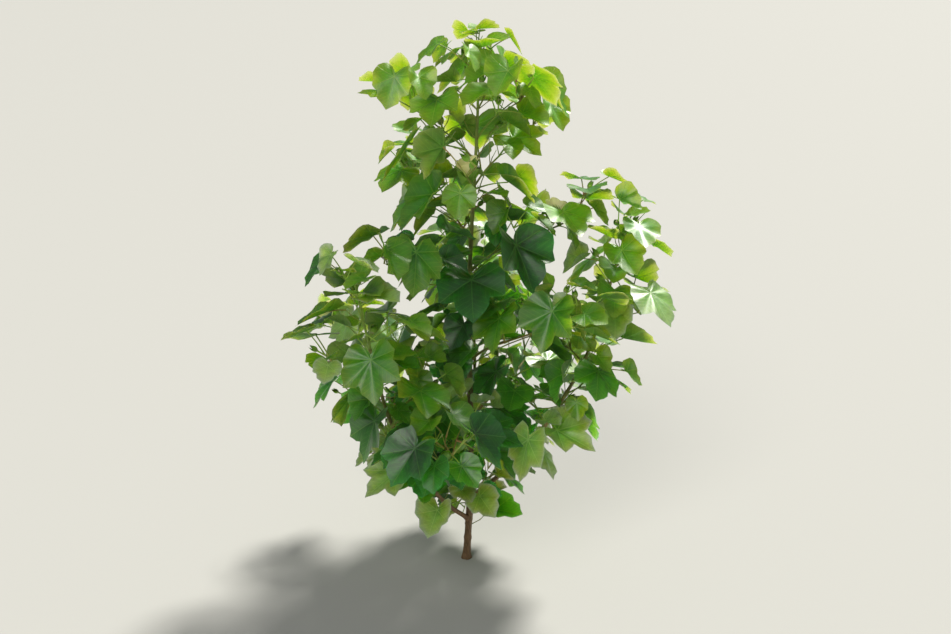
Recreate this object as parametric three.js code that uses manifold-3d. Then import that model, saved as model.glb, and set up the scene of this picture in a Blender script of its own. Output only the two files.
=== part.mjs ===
// A cotton plant in flower, rooted in the ground, in millimetres with +Z up.
// The origin is the middle of the flat cut under the main stem, at ground level.
// The main stem carries side branches low down, fruiting branches above them, and a
// young tip. Leaves, buds, flowers and bolls are grown on twigs by one seeded rule:
// the limbs are laid out first, then the fruit, then the leaves, and whatever would
// leave the crown or come too near something that is already there is skipped.
import * as THREE from "three";
import { mergeVertices } from "three/addons/utils/BufferGeometryUtils.js";
import Module from "manifold-3d";

const wasm = await Module();
wasm.setup();

// Driving dimensions of the main stem
const STEM_HEIGHT = 985; // ground to where the young tip takes over
const FOOT_RADIUS = 7.8;
const STEM_END_RADIUS = 2.7;
const FLARE = 4.5; // what the root flare adds to the foot's radius
const FLARE_HEIGHT = 14;
const STEM_LEAN = 0.02; // sideways travel for each millimetre up
const STEM_SWAY = 5;
const SWAY_LENGTH = 130;

// The crown's outline: half an egg above its widest height and half of another below
const CROWN_RADIUS = 445;
const CROWN_WIDEST = 480;
const CROWN_TOP = 1160;
const CROWN_FOOT = -240; // where the lower half would close
const LOWEST_LEAF = 60;

// The gap in the leaves in front of the upper stem, which slants up to the front
const GAP_HALF_WIDTH = 34;
const GAP_BOTTOM = 835;
const GAP_TOP = 970;
const GAP_SLOPE = 0.2;

// Growth of the main stem
const STEM_NODES = 17;
const FIRST_NODE = 52;
const LONGEST_INTERNODE = 67;
const INTERNODE_PHASE = [0.2, 0.82]; // internodes follow this stretch of a half wave
const TURN = 135; // degrees from one node to the next
const FIRST_TURN = 90;
const SIDE_BRANCHES = 3;
const FIRST_FRUITING = 3;
const FIRST_WITHOUT_BOUGH = 11; // branches from here up are twigs right from the stem

// Days since a place on the plant flowered. A node up the stem is younger, and so is a
// place further out on a branch. A place yet to flower has days below zero.
const FLOWERING_NODE = 12;
const DAYS_PER_NODE = 3;
const DAYS_PER_PLACE = 6;
const BOLL_DAYS = 24;
const BUD_DAYS = 28;
const FLOWER_DAYS = 2;

// Sizes of what grows on the twigs
const LEAF_LENGTH = 90; // petiole joint to the middle tip, on a full-grown leaf
const HUB_THICKNESS = 3.4; // a blade is thickest at its joint and thins to its rim
const PETIOLE_RADIUS = 1.7;
const THINNEST_PETIOLE = 0.9;
const FRUIT_STALK = 16;
const FRUIT_STALK_RADIUS = 1.6;
const JOINT_GAP = 0.3; // between two pieces that touch

// Room kept around what has been placed
const LEAF_ROOM = 5;
const TWIG_ROOM = 3;
const ROOT_LENGTH = 15; // a twig may be near what it grows from as far as this
const SAMPLE_STEP = 6;
const TRIES = 60;
const SEED = 46;
const SEEDS = { branch: 1000, stemLeaves: 2000, side: 3000, tip: 5000 };
const SEEDS_PER_NODE = 50;
const SEEDS_PER_SIDE = 500;

// A fruiting branch, as [on the lowest node, on the highest node]. Angles are in
// degrees, and a leaf is a share of the full length.
const BRANCH = {
  elevation: [22, 44],
  bough: [136, 76],
  radius: [3.2, 2.1],
  places: [4.4, 2.2],
  internode: [92, 56],
  leaf: [0.98, 0.78],
  stalk: [86, 54],
};
const BOUGH_BOW = [9, 2, -5]; // what each third of a bough adds to its elevation
const BOUGH_TAPER = 0.85;
const BRANCH_CHANCE = { azimuth: 8, elevation: 4, length: [0.92, 1.06] };
const LEAD_RADII = 2.5; // a twig goes straight on from its bough for this many radii
const SETTLE = 4; // degrees that each internode is flatter than the one before
const SHORTENING = 0.76; // of each internode against the one before
const ZIGZAG = 19; // degrees that a branch turns to each side, place by place
const TWIG_TAPER = 0.55;
const SWING = 4; // degrees more that each new try may turn a twig
const LEAF_SIDE = 64; // degrees that leaves and fruit stand off to each side
const FRUIT_SIDE = 50;

// The leaf at each place of a twig, as [at the last place, at the first], and the smaller
// leaf at the twig's end
const PLACE_LEAF = { rise: 20, stalk: [0.7, 1], length: [0.74, 1] };
const END_LEAF = { rise: 14, stalk: 0.55, length: 0.62, pitch: [-45, 14] };

// What is added to a twig's seed for its own heading, its end leaf and its fruit
const OWN_SEED = { heading: 20, endLeaf: 9, fruit: 10, shootFruit: 20 };

// The two leaves under each fruiting branch, on the main stem
const STEM_LEAVES = [
  { side: 32, length: [1.18, 0.92], stalk: [150, 92] },
  { side: -58, length: [0.74, 0.6], stalk: [96, 60] },
];
const STEM_LEAF_ELEVATION = [30, 46];
const STEM_LEAF_DROP = 10; // below the node

// A side branch: a tall limb from low on the stem, with sprays along it and a leafy top
const SIDE = { steps: 7, step: 80, radius: 5, endRadius: 2.9, foot: 42, top: 76, weave: 6 };
const SPRAY = {
  first: 2,
  side: 84,
  swing: 12,
  elevation: 36,
  lead: 40,
  internode: 58,
  radius: 2.1,
  leaf: 0.94,
  stalk: 76,
  places: 2,
  daysPerStep: 4,
};
const SPRAY_DIP = 10; // degrees that a spray is flatter after its lead

// How the leaves and buds of an upright shoot change from its first node to its last
const SHOOT = {
  internodes: 4,
  lead: 15,
  elevation: [38, 68],
  stalk: [82, 26],
  leaf: [0.9, 0.4],
  low: [-44, 5],
  high: [-2, 50],
  days: [-12, -28],
  fruitTurn: 75,
};
const SIDE_TOP = { rise: 76, step: [41, 20], weave: 10 };
const TIP = { rise: 82, step: [34, 20] };

// Chance in a leaf's direction, in degrees to each side, and in its size and shape
const CHANCE = { azimuth: 20, elevation: 10, facing: 28, roll: 26 };
const LEAF_SPREAD = 10; // tries until a leaf may stray twice as far
const STALK_SHARE = [0.75, 1.2];
const LENGTH_SHARE = [0.9, 1.08];
const HANGING = [-56, -6]; // how a blade slopes from its joint
const CUP = [-0.12, 0.38];
const DROOP = [0.02, 0.26];
const WAVE = [0.03, 0.09];
const PETIOLE_TAPER = [1.2, 0.9];

// One half of a leaf's outline: degrees from the midrib, radius as a share of the middle
// lobe, and how far the rim's wave lifts it there. The last corner is the stalk's notch.
const HALF_OUTLINE = [
  [0, 1.0, -1],
  [27, 0.75, 1],
  [50, 0.88, -1],
  [82, 0.69, 0.9],
  [126, 0.62, 0.3],
  [180, 0.13, 0],
];

// Bud in its bracts, flower and boll: sides, radius and height from the stalk's end, how
// steeply it stands, its size as [on its first day, on its last], and the share that has
// dropped. A bud's first day is its furthest from flowering.
const FORMS = {
  bud: { sides: 3, profile: [[10, 7], [0, 28]], rise: 46, size: [0.6, 1], shed: 0.25 },
  flower: { sides: 5, profile: [[10, 6], [25, 46], [0, 30]], rise: 62, size: [1, 1], shed: 0 },
  boll: { sides: 4, profile: [[14, 6], [13.5, 22], [0, 37]], rise: 28, size: [0.5, 1], shed: 0.45 },
};
const FRUIT_CHANCE = { azimuth: 24, rise: 14 };
const FRUIT_SPREAD = 5;

const radians = THREE.MathUtils.degToRad;
const degrees = THREE.MathUtils.radToDeg;
const mix = THREE.MathUtils.lerp;
const along = ([from, to], share) => mix(from, to, share);
const UP = new THREE.Vector3(0, 0, 1);

// Seeded numbers between two limits, one stream for each place on the plant
const MODULUS = 2147483647;
const MULTIPLIER = 16807;
const SITE_STEP = 1000003;
const SEED_STEP = 7919;

function stream(site) {
  let state = (site * SITE_STEP + SEED * SEED_STEP) % MODULUS;
  const next = () => {
    state = (state * MULTIPLIER) % MODULUS;
    return state / MODULUS;
  };
  next();
  next();
  return (low, high) => mix(low, high, next());
}

function heading(azimuth, elevation) {
  const flat = Math.cos(radians(elevation));
  return new THREE.Vector3(
    flat * Math.cos(radians(azimuth)),
    flat * Math.sin(radians(azimuth)),
    Math.sin(radians(elevation)),
  );
}

function moved(point, azimuth, elevation, distance) {
  return point.clone().addScaledVector(heading(azimuth, elevation), distance);
}

// The main stem's line, its size at a height and the heights of its nodes

function stemPoint(z) {
  return new THREE.Vector3(
    STEM_LEAN * z + STEM_SWAY * Math.sin(z / SWAY_LENGTH),
    -STEM_SWAY * Math.sin(z / (0.7 * SWAY_LENGTH)),
    z,
  );
}

function stemRadius(z) {
  const taper = mix(FOOT_RADIUS, STEM_END_RADIUS, z / STEM_HEIGHT);
  return taper + FLARE * Math.exp(-z / FLARE_HEIGHT);
}

const nodeHeights = [FIRST_NODE];
for (let node = 1; node < STEM_NODES; node++) {
  const phase = Math.PI * along(INTERNODE_PHASE, node / (STEM_NODES - 1));
  nodeHeights.push(nodeHeights[node - 1] + LONGEST_INTERNODE * Math.sin(phase));
}

function nodeAzimuth(node) {
  return FIRST_TURN + node * TURN;
}

// How far up the fruiting part of the stem a node is, from 0 to 1
function rank(node) {
  return (node - FIRST_FRUITING) / (STEM_NODES - 1 - FIRST_FRUITING);
}

// A blade is a fan of flat faces from its stalk's joint out to the corners of its rim

const RIGHT_HALF = HALF_OUTLINE.slice(1, -1).map(([turn, share, lift]) => [-turn, share, lift]);
const CORNERS = [...RIGHT_HALF.reverse(), ...HALF_OUTLINE].map(([turn, share, lift]) => ({
  turn,
  x: share * Math.cos(radians(turn)),
  y: share * Math.sin(radians(turn)),
  lift,
}));

// How far a corner is above the joint, as a share of the leaf's length
function cornerHeight(leaf, { turn, lift }) {
  const sideways = Math.sin(radians(turn)) ** 2;
  const forward = Math.max(0, Math.cos(radians(turn)));
  return leaf.cup * sideways - leaf.droop * forward + leaf.wave * lift;
}

function rimPoints(leaf) {
  return CORNERS.map((corner) =>
    leaf.joint
      .clone()
      .addScaledVector(leaf.ahead, corner.x * leaf.length)
      .addScaledVector(leaf.side, corner.y * leaf.length)
      .addScaledVector(leaf.up, cornerHeight(leaf, corner) * leaf.length),
  );
}

// How far a point is above or below a blade, where it is over it or within a margin
function overLeaf(leaf, point, margin) {
  const away = point.clone().sub(leaf.joint).divideScalar(leaf.length);
  const x = away.dot(leaf.ahead);
  const y = away.dot(leaf.side);
  const turn = degrees(Math.atan2(y, x));
  const last = CORNERS.findIndex((corner) => corner.turn >= turn);
  const b = CORNERS[last];
  const a = CORNERS.at(last - 1);
  const area = a.x * b.y - a.y * b.x;
  const shareA = (x * b.y - y * b.x) / area;
  const shareB = (a.x * y - a.y * x) / area;
  const out = shareA + shareB;
  const edge = area / Math.hypot(a.x - b.x, a.y - b.y);
  if ((out - 1) * edge > margin / leaf.length) return Infinity;
  const height = (shareA * cornerHeight(leaf, a) + shareB * cornerHeight(leaf, b)) / Math.max(1, out);
  return Math.abs(away.dot(leaf.up) - height) * leaf.length;
}

// Points over a blade: its joint, and rays to the rim's corners and between them
function leafSamples(leaf) {
  const rim = rimPoints(leaf);
  const points = [leaf.joint];
  rim.forEach((corner, i) => {
    const halfway = corner.clone().lerp(rim[(i + 1) % rim.length], 0.5);
    for (const end of [corner, halfway])
      for (const part of [0.3, 0.55, 0.8, 1]) points.push(leaf.joint.clone().lerp(end, part));
  });
  return points;
}

// Points along a twig, each with the twig's radius there
function twigSamples(path, radii) {
  const samples = [];
  for (let i = 1; i < path.length; i++) {
    const count = Math.max(1, Math.ceil(path[i - 1].distanceTo(path[i]) / SAMPLE_STEP));
    for (let k = 0; k < count; k++) {
      const share = (k + 0.5) / count;
      const point = path[i - 1].clone().lerp(path[i], share);
      samples.push({ point, radius: mix(radii[i - 1], radii[i], share) });
    }
  }
  return samples;
}

// What has been placed so far, and whether something new is clear of it

const placedLeaves = [];
const placedTwigs = [];

function inCrown(point) {
  const above = point.z > CROWN_WIDEST;
  const half = above ? CROWN_TOP - CROWN_WIDEST : CROWN_WIDEST - CROWN_FOOT;
  const out = (point.z - CROWN_WIDEST) / half;
  if (out >= 1 || point.z < LOWEST_LEAF) return false;
  return Math.hypot(point.x, point.y) < CROWN_RADIUS * Math.sqrt(1 - out * out);
}

function inGap(point) {
  const beside = Math.abs(point.x - stemPoint(point.z).x) < GAP_HALF_WIDTH;
  const level = point.z + GAP_SLOPE * point.y;
  return beside && point.y < -FOOT_RADIUS && level > GAP_BOTTOM && level < GAP_TOP;
}

function meetsLeaf(samples, leaf) {
  return samples.some(({ point, radius }) => {
    const room = TWIG_ROOM + radius;
    return overLeaf(leaf, point, room) < room;
  });
}

function leafIsClear(leaf, stalk) {
  const points = leafSamples(leaf);
  if (!points.every((point) => inCrown(point) && !inGap(point))) return false;
  for (const other of placedLeaves) {
    if (other.joint.distanceTo(leaf.joint) > other.length + leaf.length) continue;
    if (points.some((point) => overLeaf(other, point, LEAF_ROOM) < LEAF_ROOM)) return false;
    if (other.points.some((point) => overLeaf(leaf, point, LEAF_ROOM) < LEAF_ROOM)) return false;
  }
  if (placedTwigs.some((samples) => meetsLeaf(samples, leaf))) return false;
  return !meetsLeaf(stalk.slice(0, -3), leaf);
}

function twigIsClear(samples, root) {
  if (placedLeaves.some((leaf) => meetsLeaf(samples, leaf))) return false;
  const beyond = samples.filter(({ point }) => point.distanceTo(root) > ROOT_LENGTH);
  return placedTwigs.every((other) =>
    beyond.every(({ point, radius }) =>
      other.every((sample) => {
        return sample.point.distanceTo(point) > TWIG_ROOM + radius + sample.radius;
      }),
    ),
  );
}

function occupy(samples) {
  placedTwigs.push(samples);
}

// Growth of limbs. A mass holds its twigs, leaves and fruit, and the limb it is cut from.

const boughs = [];
const masses = [];
const leafSites = [];
const fruitSites = [];

function addMass(name, cut = null) {
  const mass = { name, cut, twigs: [], leaves: [], fruits: [] };
  masses.push(mass);
  return mass;
}

function numbered(name, number) {
  return name + "_" + String(number).padStart(2, "0");
}

function addBough(name, path, radii) {
  const bough = { name, path, radii };
  boughs.push(bough);
  occupy(twigSamples(path, radii));
  return bough;
}

function taper(path, from, to) {
  return path.map((point, i) => mix(from, to, i / (path.length - 1)));
}

// A zigzag twig. Tries other headings where the first would touch a limb.
function zigzagPath(plan, draw) {
  for (let attempt = 0; attempt < TRIES; attempt++) {
    const swing = attempt * SWING;
    const azimuth = plan.azimuth + draw(-swing, swing);
    const path = [...plan.lead];
    let side = plan.handed;
    let internode = plan.internode;
    for (let place = 1; place < plan.places; place++) {
      const elevation = plan.elevation - SETTLE * place;
      path.push(moved(path[path.length - 1], azimuth + side * ZIGZAG, elevation, internode));
      side = -side;
      internode *= SHORTENING;
    }
    const radii = taper(path, plan.radius, plan.radius * TWIG_TAPER);
    const samples = twigSamples(path, radii);
    if (twigIsClear(samples, path[0])) return { path, radii, samples, azimuth };
  }
  return null;
}

// Sets the places along a twig: a leaf to one side and a bud, flower or boll to the
// other at each, and a smaller leaf at the twig's end
function setPlaces(mass, plan, made, seed) {
  const first = plan.lead.length - 1;
  let side = -plan.handed;
  for (let place = 0; place < plan.places; place++) {
    const from = made.path[first + place];
    const share = 1 - place / (plan.places + 1);
    leafSites.push({
      mass,
      from,
      seed: seed + place,
      azimuth: made.azimuth + side * LEAF_SIDE,
      elevation: plan.elevation + PLACE_LEAF.rise,
      stalk: plan.stalk * along(PLACE_LEAF.stalk, share),
      length: plan.leaf * along(PLACE_LEAF.length, share),
      pitch: HANGING,
    });
    fruitSites.push({
      mass,
      from,
      seed: seed + OWN_SEED.fruit + place,
      azimuth: made.azimuth - side * FRUIT_SIDE,
      days: plan.days - DAYS_PER_PLACE * place,
    });
    side = -side;
  }
  leafSites.push({
    mass,
    from: made.path[made.path.length - 1],
    seed: seed + OWN_SEED.endLeaf,
    azimuth: made.azimuth,
    elevation: plan.elevation + END_LEAF.rise,
    stalk: plan.stalk * END_LEAF.stalk,
    length: plan.leaf * END_LEAF.length,
    pitch: END_LEAF.pitch,
  });
}

function growTwig(mass, plan, seed) {
  const made = zigzagPath(plan, stream(seed + OWN_SEED.heading));
  if (!made) return;
  occupy(made.samples);
  mass.twigs.push({ path: made.path, radii: made.radii });
  setPlaces(mass, plan, made, seed);
}

// A fruiting branch: a bough as far as its first place, then a zigzag twig. High up it
// is a twig right from the stem, with the stem's leaves in the same mass.
function fruitingBranch(node) {
  const seed = SEEDS.branch + node * SEEDS_PER_NODE;
  const draw = stream(seed);
  const up = rank(node);
  const { azimuth: turned, elevation: tilted, length } = BRANCH_CHANCE;
  const azimuth = nodeAzimuth(node) + draw(-turned, turned);
  const elevation = along(BRANCH.elevation, up) + draw(-tilted, tilted);
  const third = (along(BRANCH.bough, up) * draw(...length)) / BOUGH_BOW.length;
  const path = [stemPoint(nodeHeights[node])];
  for (const bow of BOUGH_BOW)
    path.push(moved(path[path.length - 1], azimuth, elevation + bow, third));
  const plan = {
    lead: path,
    azimuth,
    elevation: elevation - SETTLE,
    handed: node % 2 ? 1 : -1,
    places: Math.round(along(BRANCH.places, up)),
    internode: along(BRANCH.internode, up),
    radius: along(BRANCH.radius, up),
    leaf: LEAF_LENGTH * along(BRANCH.leaf, up),
    stalk: along(BRANCH.stalk, up),
    days: DAYS_PER_NODE * (FLOWERING_NODE - node),
  };
  if (node >= FIRST_WITHOUT_BOUGH) {
    const mass = addMass(numbered("branch_leaves", node), "main_stem");
    growTwig(mass, plan, seed);
    stemLeaves(node, mass, path[1]);
    return;
  }
  const tipRadius = plan.radius * BOUGH_TAPER;
  addBough(numbered("fruiting_branch", node), path, taper(path, plan.radius, tipRadius));
  const way = [azimuth, elevation + BOUGH_BOW[BOUGH_BOW.length - 1]];
  const start = moved(path[path.length - 1], ...way, JOINT_GAP);
  plan.lead = [start, moved(start, ...way, LEAD_RADII * plan.radius)];
  plan.radius = tipRadius;
  growTwig(addMass(numbered("branch_leaves", node)), plan, seed);
  const leaves = addMass(numbered("stem_leaf", node), "main_stem");
  stemLeaves(node, leaves, stemPoint(nodeHeights[node] - STEM_LEAF_DROP));
}

function stemLeaves(node, mass, from) {
  const up = rank(node);
  const hand = node % 2 ? 1 : -1;
  STEM_LEAVES.forEach(({ side, length, stalk }, i) =>
    leafSites.push({
      mass,
      from,
      seed: SEEDS.stemLeaves + node * SEEDS_PER_NODE + i,
      azimuth: nodeAzimuth(node) + hand * side,
      elevation: along(STEM_LEAF_ELEVATION, up),
      stalk: along(stalk, up),
      length: LEAF_LENGTH * along(length, up),
      pitch: HANGING,
    }),
  );
}

function sideBranch(number) {
  const seed = SEEDS.side + number * SEEDS_PER_SIDE;
  const turned = BRANCH_CHANCE.azimuth;
  const azimuth = nodeAzimuth(number) + stream(seed)(-turned, turned);
  const path = [stemPoint(nodeHeights[number])];
  for (let step = 0; step < SIDE.steps; step++) {
    const elevation = mix(SIDE.foot, SIDE.top, step / (SIDE.steps - 1));
    const weave = step % 2 ? SIDE.weave : -SIDE.weave;
    path.push(moved(path[step], azimuth + weave, elevation, SIDE.step));
  }
  const name = "side_branch_" + (number + 1);
  const bough = addBough(name, path, taper(path, SIDE.radius, SIDE.endRadius));
  return { bough, number, azimuth, seed };
}

function sideSpray({ bough, number, azimuth, seed }, step) {
  const hand = step % 2 ? 1 : -1;
  const turn = azimuth + hand * SPRAY.side + SPRAY.swing * step;
  const base = bough.path[step];
  const mass = addMass("side_leaves_" + (number + 1) + "_" + (step + 1 - SPRAY.first), bough.name);
  const plan = {
    lead: [base, moved(base, turn, SPRAY.elevation, SPRAY.lead)],
    azimuth: turn,
    elevation: SPRAY.elevation - SPRAY_DIP,
    handed: hand,
    places: SPRAY.places,
    internode: SPRAY.internode,
    radius: SPRAY.radius,
    leaf: LEAF_LENGTH * SPRAY.leaf,
    stalk: SPRAY.stalk,
    days: -SPRAY.daysPerStep * step,
  };
  growTwig(mass, plan, seed + step * SEEDS_PER_NODE);
}

// An upright shoot's line from a start, turning from side to side as it rises
function shootPath(start, { rise, step }, azimuthAt) {
  const path = [start, moved(start, azimuthAt(0), rise, SHOOT.lead)];
  for (let i = 1; i <= SHOOT.internodes; i++) {
    const internode = along(step, (i - 1) / (SHOOT.internodes - 1));
    path.push(moved(path[i], azimuthAt(i), rise, internode));
  }
  return path;
}

// An upright shoot with a leaf and a bud at each node, smaller and steeper to its tip
function growShoot(mass, path, radius, firstTurn, seed) {
  const radii = taper(path, radius, radius * TWIG_TAPER);
  occupy(twigSamples(path, radii));
  mass.twigs.push({ path, radii });
  const last = path.length - 1;
  for (let step = 1; step <= last; step++) {
    const share = (step - 1) / (last - 1);
    const azimuth = firstTurn + step * TURN;
    leafSites.push({
      mass,
      from: path[step],
      seed: seed + step,
      azimuth,
      elevation: along(SHOOT.elevation, share),
      stalk: along(SHOOT.stalk, share),
      length: LEAF_LENGTH * along(SHOOT.leaf, share),
      pitch: [along(SHOOT.low, share), along(SHOOT.high, share)],
    });
    fruitSites.push({
      mass,
      from: path[step],
      seed: seed + OWN_SEED.shootFruit + step,
      azimuth: azimuth + SHOOT.fruitTurn,
      days: along(SHOOT.days, share),
    });
  }
}

function sideTop({ bough, number, azimuth, seed }) {
  const mass = addMass("side_leaves_" + (number + 1) + "_top");
  const start = moved(bough.path[SIDE.steps], azimuth, SIDE.top, JOINT_GAP);
  const weave = (i) => azimuth + (i % 2 ? -SIDE_TOP.weave : SIDE_TOP.weave);
  const path = shootPath(start, SIDE_TOP, weave);
  growShoot(mass, path, SIDE.endRadius, azimuth, seed + SIDE.steps * SEEDS_PER_NODE);
}

function growingTip() {
  const mass = addMass("growing_tip");
  const start = stemPoint(STEM_HEIGHT).addScaledVector(UP, JOINT_GAP);
  growShoot(mass, shootPath(start, TIP, nodeAzimuth), STEM_END_RADIUS, nodeAzimuth(STEM_NODES), SEEDS.tip);
}

// Growth of leaves and fruit

// A leaf on its stalk. Tries again, further to the side and with another stalk, where
// the first would touch something.
function growLeaf(site) {
  const draw = stream(site.seed);
  for (let attempt = 0; attempt < TRIES; attempt++) {
    const spread = 1 + attempt / LEAF_SPREAD;
    const way = site.azimuth + draw(-CHANCE.azimuth, CHANCE.azimuth) * spread;
    const rise = site.elevation + draw(-CHANCE.elevation, CHANCE.elevation) * spread;
    const joint = moved(site.from, way, rise, site.stalk * draw(...STALK_SHARE));
    const ahead = heading(way + draw(-CHANCE.facing, CHANCE.facing), draw(...site.pitch));
    const roll = radians(draw(-CHANCE.roll, CHANCE.roll));
    const side = UP.clone().cross(ahead).normalize().applyAxisAngle(ahead, roll);
    const leaf = {
      joint,
      ahead,
      side,
      up: ahead.clone().cross(side),
      length: site.length * draw(...LENGTH_SHARE),
      cup: draw(...CUP),
      droop: draw(...DROOP),
      wave: draw(...WAVE),
    };
    const grown = Math.min(1, site.length / LEAF_LENGTH);
    const radius = mix(THINNEST_PETIOLE, PETIOLE_RADIUS, grown);
    const path = [site.from, joint];
    const radii = PETIOLE_TAPER.map((share) => share * radius);
    const samples = twigSamples(path, radii);
    if (!twigIsClear(samples, site.from) || !leafIsClear(leaf, samples)) continue;
    occupy(samples);
    leaf.points = leafSamples(leaf);
    placedLeaves.push(leaf);
    site.mass.twigs.push({ path, radii });
    site.mass.leaves.push(leaf);
    return;
  }
}

// Radius and height of each corner of a bud, flower or boll, from its stalk's root
function fruitProfile(kind, size) {
  const stalk = [[0, 0], [FRUIT_STALK_RADIUS, 0], [FRUIT_STALK_RADIUS, FRUIT_STALK]];
  const body = FORMS[kind].profile;
  return [...stalk, ...body.map(([radius, height]) => [radius * size, FRUIT_STALK + height * size])];
}

// What a place bears by its days: its kind, and how far that has grown, from 0 to 1
function fruitAt(days) {
  if (Math.abs(days) < FLOWER_DAYS) return ["flower", 1];
  if (days < 0) return ["bud", Math.max(0, 1 + days / BUD_DAYS)];
  return ["boll", Math.min(1, days / BOLL_DAYS)];
}

function growFruit(site) {
  const draw = stream(site.seed);
  const [kind, grown] = fruitAt(site.days);
  const { rise, shed } = FORMS[kind];
  const size = along(FORMS[kind].size, grown);
  if (draw(0, 1) < shed) return;
  for (let attempt = 0; attempt < TRIES; attempt++) {
    const spread = 1 + attempt / FRUIT_SPREAD;
    const way = site.azimuth + draw(-FRUIT_CHANCE.azimuth, FRUIT_CHANCE.azimuth) * spread;
    const axis = heading(way, rise + draw(-FRUIT_CHANCE.rise, FRUIT_CHANCE.rise));
    const corners = fruitProfile(kind, size);
    const path = corners.map(([radius, height]) => site.from.clone().addScaledVector(axis, height));
    const samples = twigSamples(path, corners.map(([radius]) => radius));
    if (!twigIsClear(samples, site.from)) continue;
    occupy(samples);
    site.mass.fruits.push({ kind, size, from: site.from, axis });
    return;
  }
}

function growPlant() {
  occupy(twigSamples(stemPath(), stemRadii(0)));
  const sides = Array.from({ length: SIDE_BRANCHES }, (unused, number) => sideBranch(number));
  for (let node = FIRST_FRUITING; node < STEM_NODES; node++) fruitingBranch(node);
  for (const side of sides) {
    for (let step = SPRAY.first; step < SIDE.steps; step++) sideSpray(side, step);
    sideTop(side);
  }
  growingTip();
  fruitSites.forEach(growFruit);
  leafSites.forEach(growLeaf);
}

// Solids

function solidFrom(geometry) {
  const bare = new THREE.BufferGeometry();
  bare.setAttribute("position", geometry.getAttribute("position"));
  bare.setIndex(geometry.getIndex());
  const merged = mergeVertices(bare, 1e-4);
  return new wasm.Manifold(
    new wasm.Mesh({
      numProp: 3,
      vertProperties: new Float32Array(merged.attributes.position.array),
      triVerts: new Uint32Array(merged.index.array),
    }),
  );
}

function geometryFrom(solid) {
  const mesh = solid.getMesh();
  const geometry = new THREE.BufferGeometry();
  geometry.setAttribute("position", new THREE.BufferAttribute(mesh.vertProperties, 3));
  geometry.setIndex(new THREE.BufferAttribute(mesh.triVerts, 1));
  geometry.computeVertexNormals();
  return geometry;
}

// A tapering limb: a lathe with one ring for each point of its path, moved out to it.
// first is the direction of the opening cut, which is level under the main stem.
const ACROSS = new THREE.Vector3(0.31, 0.94, 0.12);

function limb(path, radii, sides, first = null) {
  const last = path.length - 1;
  const rings = radii.map((radius, ring) => new THREE.Vector2(radius, ring));
  const profile = [new THREE.Vector2(0, 0), ...rings, new THREE.Vector2(0, last)];
  const geometry = new THREE.LatheGeometry(profile, sides);
  const corners = geometry.getAttribute("position");
  const frames = path.map((point, ring) => {
    const axis = path[Math.min(last, ring + 1)].clone().sub(path[Math.max(0, ring - 1)]);
    if (ring === 0 && first) axis.copy(first);
    axis.normalize();
    const side = ACROSS.clone().addScaledVector(axis, -ACROSS.dot(axis)).normalize();
    return [side, axis.clone().cross(side)];
  });
  for (let corner = 0; corner < corners.count; corner++) {
    const ring = Math.round(corners.getY(corner));
    const point = path[ring]
      .clone()
      .addScaledVector(frames[ring][0], corners.getZ(corner))
      .addScaledVector(frames[ring][1], corners.getX(corner));
    corners.setXYZ(corner, point.x, point.y, point.z);
  }
  return solidFrom(geometry);
}

// A blade's two faces, thickest at the joint and meeting in a thin edge at the rim
function blade(leaf) {
  const points = rimPoints(leaf);
  const count = points.length;
  for (const rise of [HUB_THICKNESS / 2, -HUB_THICKNESS / 2])
    points.push(leaf.joint.clone().addScaledVector(leaf.up, rise));
  const faces = [];
  for (let corner = 0; corner < count; corner++) {
    const next = (corner + 1) % count;
    faces.push(count, corner, next);
    faces.push(count + 1, next, corner);
  }
  const geometry = new THREE.BufferGeometry().setFromPoints(points);
  geometry.setIndex(faces);
  return solidFrom(geometry);
}

// A bud, flower or boll with its stalk, turned on a lathe and stood along its axis
function fruitBody(fruit) {
  const corners = fruitProfile(fruit.kind, fruit.size);
  const geometry = new THREE.LatheGeometry(
    corners.map(([radius, height]) => new THREE.Vector2(radius, height)),
    FORMS[fruit.kind].sides,
  );
  const lathe = new THREE.Vector3(0, 1, 0);
  geometry.applyQuaternion(new THREE.Quaternion().setFromUnitVectors(lathe, fruit.axis));
  geometry.translate(fruit.from.x, fruit.from.y, fruit.from.z);
  return solidFrom(geometry);
}

const STEM_RINGS = 20;
const STEM_SIDES = 9;
const RING_CROWDING = 0.4; // how much closer the stem's rings are at its foot

function stemPath() {
  const path = [];
  for (let ring = 0; ring <= STEM_RINGS; ring++) {
    const share = ring / STEM_RINGS;
    path.push(stemPoint(STEM_HEIGHT * mix(share, share * share, RING_CROWDING)));
  }
  return path;
}

function stemRadii(extra) {
  return stemPath().map((point) => stemRadius(point.z) + extra);
}

function stemSolid(extra) {
  return limb(stemPath(), stemRadii(extra), STEM_SIDES, UP);
}

// Materials and nodes
const materials = {
  stem: new THREE.MeshStandardMaterial({ color: 0x7a6a48, roughness: 0.75 }),
  branch: new THREE.MeshStandardMaterial({ color: 0x6f7d3c, roughness: 0.65 }),
  leaves: new THREE.MeshStandardMaterial({ color: 0x4f9a1c, roughness: 0.45 }),
};
const limbs = new THREE.Group();
const foliage = new THREE.Group();
const plant = new THREE.Group();
plant.add(limbs, foliage);

// A node stands at its own foot, where it grows from
function addNode(group, name, solid, foot, material) {
  const geometry = geometryFrom(solid);
  geometry.translate(-foot.x, -foot.y, -foot.z);
  const mesh = new THREE.Mesh(geometry, material);
  mesh.name = name;
  mesh.position.copy(foot);
  group.add(mesh);
}

const BOUGH_SIDES = 6;
const TWIG_SIDES = 3;
const SLIVER = 0.1; // corners nearer than this to a face or edge are merged away

growPlant();
addNode(limbs, "main_stem", stemSolid(0), stemPoint(0), materials.stem);
const widened = { main_stem: stemSolid(JOINT_GAP) };

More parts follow.
